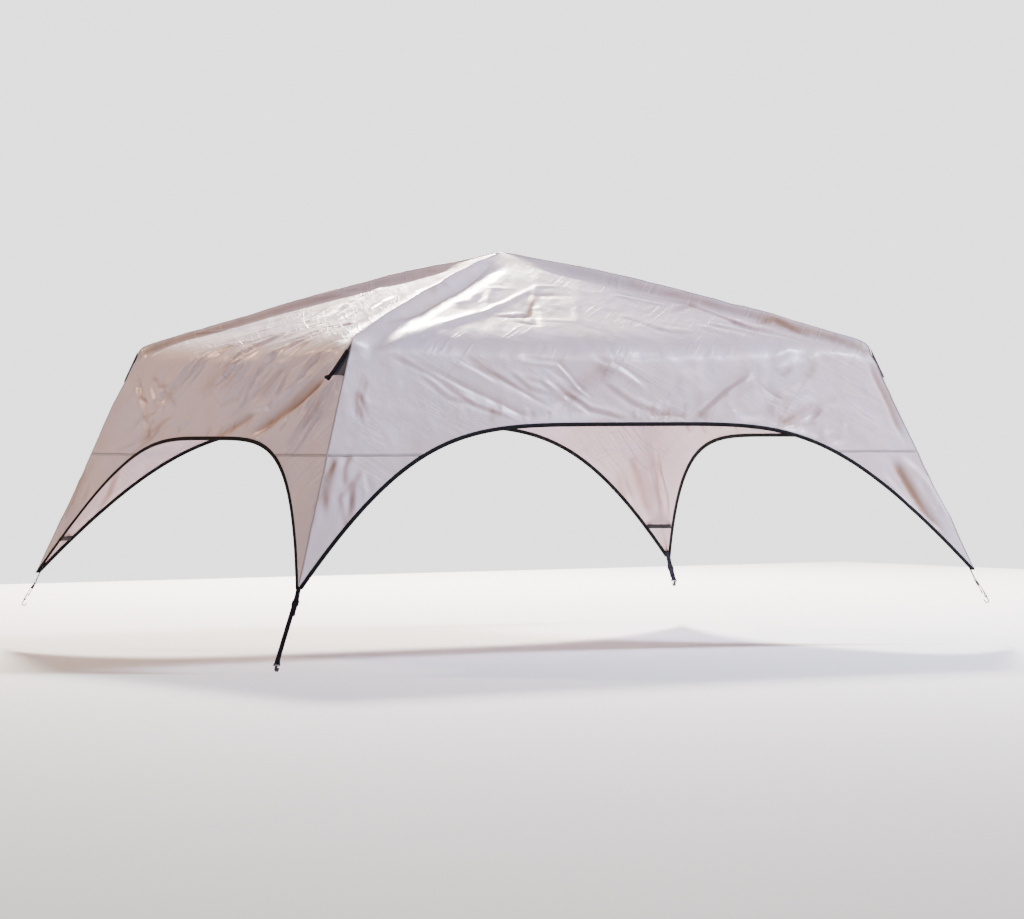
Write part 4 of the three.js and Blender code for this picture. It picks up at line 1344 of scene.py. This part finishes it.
def fin_frame(corner):
    """A fin's top corner, its way across, its root's way down, and its face."""
    swing = JOINTS["fin_swing_" + corner]
    origin = np.array(swing["pos_m"])
    down = leg_down(corner)
    verts = np.array([v.co for v in frame["nodes"]["guy_fin_" + corner].data.vertices], float) - origin
    away = verts - (verts @ down)[:, None] * down
    far = np.linalg.norm(away, axis=1)
    across = unit(away[far > far.max() - 1e-3].mean(0))
    out = np.cross(across, down)
    side = 1 if out @ np.array([down[0], down[1], 0]) > 0 else -1
    return origin, across, down, out, side


def build_fins():
    """The small triangular fin in each corner seam, with its webbing edge and guy loop."""
    pieces = []
    length, reach, lift, hollow = 0.172, 0.098, 0.012, 0.006
    for corner in CORNERS:
        body = "fin_" + corner
        origin, across, down, out, side = fin_frame(corner)
        rows = []
        for t in np.linspace(0.02, 1, 28):
            row = []
            for s in np.linspace(0, 1, 16):
                x = reach * t * s
                y = (length - lift * s) * t - 4 * s * (1 - s) * hollow * t**3
                billow = 0.0035 * math.sin(math.pi * s) * math.sin(math.pi * t) - 0.0012 * math.sin(9 * s) * t
                row.append(origin + across * x + down * y - out * side * billow)
            rows.append(row)
        fin = sheet_from("fin_cloth_" + corner, rows)
        thickened(fin, 0.0009, 0.0)
        finish_piece(fin, body, MATERIALS["fin"], "fin_cloth", "guy_fin_" + corner)
        edge = math.hypot(length - lift, reach)
        angle = math.atan2(length - lift, reach)
        run = across * math.cos(angle) + down * math.sin(angle)
        inner = down * math.cos(angle) - across * math.sin(angle)
        rise = 0.0016 / 2 + PLY_GAP + WEB_THICK / 2
        turn, flat, past, sewn = 0.005, 0.006, 0.018, 0.020
        top = rise + 2 * turn + flat
        end = edge + past
        path = [
            (0.038, rise),
            (end - turn, rise),
            *arc(end - turn, rise + turn, turn, -90, 0, 6),
            *arc(end - turn, top - turn, turn, 0, 90, 6),
            (end - 2 * turn, top),
            (edge - turn, rise + WEB_THICK + PLY_GAP),
            (edge - turn - sewn, rise + WEB_THICK + PLY_GAP),
        ]
        web = webbing("fin_web_" + corner, path, origin + inner * 0.008, run, out * side, inner)
        finish_piece(web, body, MATERIALS["webbing"], "webbing", "guy_web_" + corner)
        lines = box_and_cross(edge - turn - sewn + 0.002, edge - turn - 0.002, 0.36 * WEB_WIDTH)
        place = origin + inner * 0.008 + out * side * (rise + 1.5 * WEB_THICK + PLY_GAP)
        thread = stitches("fin_stitching_" + corner, lines, place, run, inner, out * side)
        finish_piece(thread, body, MATERIALS["thread"], "webbing")
        pieces += [fin, web, thread]
    return pieces


# ---------------------------------------------------------------- stage
def area_light(name, place, aim, size, power, colour):
    light = bpy.data.lights.new(name, "AREA")
    light.shape = "RECTANGLE"
    light.size, light.size_y = size
    light.energy = power
    light.color = colour
    obj = bpy.data.objects.new(name, light)
    obj.location = place
    obj.rotation_euler = (Vector(aim) - Vector(place)).to_track_quat("-Z", "Y").to_euler()
    bpy.context.scene.collection.objects.link(obj)
    return obj


def build_stage(stage):
    scene = bpy.context.scene
    camera = bpy.data.cameras.new("Camera")
    camera.sensor_width = 36.0
    camera.lens = stage.lens
    camera.clip_end = 400
    obj = bpy.data.objects.new("Camera", camera)
    obj.rotation_mode = "XYZ"
    obj.location = stage.camera_place
    obj.matrix_world = (
        Matrix.Translation(Vector(stage.camera_place))
        @ Matrix.Rotation(-stage.camera_yaw, 4, "Z")
        @ Matrix.Rotation(math.pi / 2 + stage.camera_pitch, 4, "X")
        @ Matrix.Rotation(stage.camera_roll, 4, "Z")
    )
    scene.collection.objects.link(obj)
    scene.camera = obj
    low = CAD_BOX[0][2] - 0.01
    near, far = -16.0, 9.0
    floor = made(
        "floor", [(near, near, low), (far, near, low), (far, far, low), (near, far, low)], [(0, 1, 2, 3)],
    )
    material, shader, _ = new_material("Pale floor", Roughness=0.9, Specular_IOR_Level=0.1)
    shader.inputs["Base Color"].default_value = (0.93, 0.93, 0.93, 1)
    floor.data.materials.append(material)
    world = bpy.data.worlds.new("Studio")
    world.use_nodes = True
    t = Tree(world.node_tree)
    shade = world.node_tree.nodes["Background"]
    shade.inputs["Color"].default_value = (1.0, 0.93, 0.90, 1)
    shade.inputs["Strength"].default_value = stage.surround
    seen = t.node("ShaderNodeBackground", {"Color": (1.0, 1.0, 1.0, 1.0), "Strength": stage.backdrop})
    both = t.node("ShaderNodeMixShader", Fac=t.node("ShaderNodeLightPath").outputs["Is Camera Ray"])
    world.node_tree.links.new(shade.outputs[0], both.inputs[1])
    world.node_tree.links.new(seen.outputs[0], both.inputs[2])
    world.node_tree.links.new(both.outputs[0], world.node_tree.nodes["World Output"].inputs["Surface"])
    scene.world = world
    middle = (0, 0, -0.8)
    area_light("Key", (9.0, -5.0, 6.5), middle, (2.4, 2.4), stage.key_power, (0.78, 0.81, 1.0))
    area_light("Sun side", (5.5, 9.5, 6.5), middle, (1.6, 1.6), stage.back_power, (1.0, 0.90, 0.80))
    area_light("Left light", (-4.5, 9.0, 7.5), middle, (2, 2), stage.fill_power, (1.0, 0.62, 0.40))


# ---------------------------------------------------------------- settings
class CanopySizes(bpy.types.PropertyGroup):
    cloth_pitch: bpy.props.FloatProperty(
        name="Cloth pitch", description="Spacing of the cloth's points", default=0.0095, min=0.005, max=0.05,
        unit="LENGTH"
    )
    cloth_thickness: bpy.props.FloatProperty(
        name="Cloth thickness", description="Thickness of the canopy cloth", default=0.0008, min=0.0003,
        max=0.002, unit="LENGTH"
    )
    tape_cover: bpy.props.FloatProperty(
        name="Tape cover", description="How far the hem tape laps over the cloth", default=0.0175, min=0.006,
        max=0.02, unit="LENGTH"
    )
    fold_depth: bpy.props.FloatProperty(
        name="Fold depth", description="How deep the large folds are, as a share of their own depth",
        default=1.0, min=0.0, max=2.0
    )
    wrinkle_depth: bpy.props.FloatProperty(
        name="Wrinkle depth", description="How high the small wrinkles are, as a share of their own height",
        default=1.0, min=0.0, max=2.0
    )


class CanopyColours(bpy.types.PropertyGroup):
    cloth: bpy.props.FloatVectorProperty(
        name="Cloth", description="Main colour of the canopy cloth", default=(0.63, 0.57, 0.675), size=3,
        subtype="COLOR", min=0, max=1
    )
    cloth_second: bpy.props.FloatVectorProperty(
        name="Cloth patches", description="Colour of its warmer patches", default=(0.61, 0.52, 0.56), size=3,
        subtype="COLOR", min=0, max=1
    )
    # the colour of the painted shade in folds and hip valleys
    cloth_fold_shade: bpy.props.FloatVectorProperty(
        name="Folds", description="Colour that deep folds turn to", default=(0.30, 0.16, 0.085), size=3,
        subtype="COLOR", min=0, max=1
    )
    tape: bpy.props.FloatVectorProperty(
        name="Hem tape", description="Colour of the hem tape", default=(0.0035, 0.0035, 0.004), size=3,
        subtype="COLOR", min=0, max=1
    )
    webbing: bpy.props.FloatVectorProperty(
        name="Webbing", description="Colour of straps and tabs", default=(0.0055, 0.006, 0.014), size=3,
        subtype="COLOR", min=0, max=1
    )
    fin: bpy.props.FloatVectorProperty(
        name="Fins", description="Colour of the guy fins", default=(0.038, 0.043, 0.066), size=3,
        subtype="COLOR", min=0, max=1
    )


class CanopyStage(bpy.types.PropertyGroup):
    camera_place: bpy.props.FloatVectorProperty(
        name="Camera", description="Where the camera stands", default=(-10.958, -17.289, -0.905), size=3,
        subtype="TRANSLATION", unit="LENGTH"
    )
    camera_yaw: bpy.props.FloatProperty(
        name="Yaw", description="How far right of +Y the camera looks", default=math.radians(32.5),
        subtype="ANGLE", unit="ROTATION"
    )
    camera_pitch: bpy.props.FloatProperty(
        name="Pitch", description="How far up the camera looks", default=math.radians(-0.44), subtype="ANGLE",
        unit="ROTATION"
    )
    camera_roll: bpy.props.FloatProperty(
        name="Roll", description="The camera's tilt", default=math.radians(-0.26), subtype="ANGLE",
        unit="ROTATION"
    )
    lens: bpy.props.FloatProperty(name="Lens", description="Focal length", default=140.6, min=20, max=300)
    surround: bpy.props.FloatProperty(
        name="Surround", description="Brightness of the studio all round", default=0.31, min=0, max=10,
    )
    backdrop: bpy.props.FloatProperty(
        name="Backdrop", description="Brightness of the backdrop", default=2.4, min=0, max=10,
    )
    key_power: bpy.props.FloatProperty(
        name="Key", description="Power of the front light", default=3900, min=0, max=9000, subtype="POWER",
        unit="POWER"
    )
    back_power: bpy.props.FloatProperty(
        name="Sun side", description="Power of the warm light behind", default=7500, min=0, max=9000,
        subtype="POWER", unit="POWER"
    )
    fill_power: bpy.props.FloatProperty(
        name="Left fill", description="Power of the left light", default=1150, min=0, max=9000,
        subtype="POWER", unit="POWER"
    )


# ---------------------------------------------------------------- operators
class CANOPY_OT_stage(bpy.types.Operator):
    """Make the camera, floor and lights"""

    bl_idname = "canopy.stage"
    bl_label = "Stage"

    def execute(self, context):
        build_stage(context.scene.canopy_stage)
        return {"FINISHED"}


class CANOPY_OT_materials(bpy.types.Operator):
    """Make the cloth, tape, webbing and plastic materials"""

    bl_idname = "canopy.materials"
    bl_label = "Materials"

    def execute(self, context):
        make_materials(context.scene.canopy_colours)
        return {"FINISHED"}


class CANOPY_OT_cloth(bpy.types.Operator):
    """Make the canopy sheet with its seams, hem bindings and patches"""

    bl_idname = "canopy.cloth"
    bl_label = "Cloth, seams, hems and patches"

    def execute(self, context):
        sizes = context.scene.canopy_sizes
        canopy = build_cloth(sizes)
        trim = build_hem_tapes(sizes) + build_seams()
        patches = build_patches(sizes)
        return {"FINISHED"}


class CANOPY_OT_ties(bpy.types.Operator):
    """Make the touch-tape ties inside the legs"""

    bl_idname = "canopy.ties"
    bl_label = "Leg ties"

    def execute(self, context):
        build_ties()
        return {"FINISHED"}


class CANOPY_OT_fins(bpy.types.Operator):
    """Make the guy fins and their loops"""

    bl_idname = "canopy.fins"
    bl_label = "Guy fins"

    def execute(self, context):
        build_fins()
        return {"FINISHED"}


class CANOPY_OT_straps(bpy.types.Operator):
    """Make the tabs, straps and tails"""

    bl_idname = "canopy.straps"
    bl_label = "Tip straps"

    def execute(self, context):
        build_straps()
        return {"FINISHED"}


class CANOPY_OT_hardware(bpy.types.Operator):
    """Make the ladder-locks and hooks"""

    bl_idname = "canopy.hardware"
    bl_label = "Locks and hooks"

    def execute(self, context):
        build_hardware()
        return {"FINISHED"}


OPERATORS = (
    CANOPY_OT_stage,
    CANOPY_OT_materials,
    CANOPY_OT_cloth,
    CANOPY_OT_ties,
    CANOPY_OT_fins,
    CANOPY_OT_straps,
    CANOPY_OT_hardware,
)


class CANOPY_PT_panel(bpy.types.Panel):
    """The canopy's builders"""

    bl_idname = "CANOPY_PT_panel"
    bl_label = "Tarp shelter canopy"
    bl_space_type = "VIEW_3D"
    bl_region_type = "UI"
    bl_category = "Canopy"

    def draw(self, context):
        for settings in (
            context.scene.canopy_sizes, context.scene.canopy_colours, context.scene.canopy_stage,
        ):
            box = self.layout.box()
            for key in settings.__annotations__:
                box.prop(settings, key)
        for operator in OPERATORS:
            self.layout.operator(operator.bl_idname)


CLASSES = (CanopySizes, CanopyColours, CanopyStage, *OPERATORS, CANOPY_PT_panel)
SETTINGS = {"canopy_sizes": CanopySizes, "canopy_colours": CanopyColours, "canopy_stage": CanopyStage}


def register():
    for cls in CLASSES:
        bpy.utils.register_class(cls)
    for name, group in SETTINGS.items():
        setattr(bpy.types.Scene, name, bpy.props.PointerProperty(type=group))


def unregister():
    for name in SETTINGS:
        delattr(bpy.types.Scene, name)
    for cls in reversed(CLASSES):
        bpy.utils.unregister_class(cls)


def main():
    register()
    for operator in OPERATORS:
        package, name = operator.bl_idname.split(".")
        getattr(getattr(bpy.ops, package), name)()


if __name__ == "__main__":
    main()
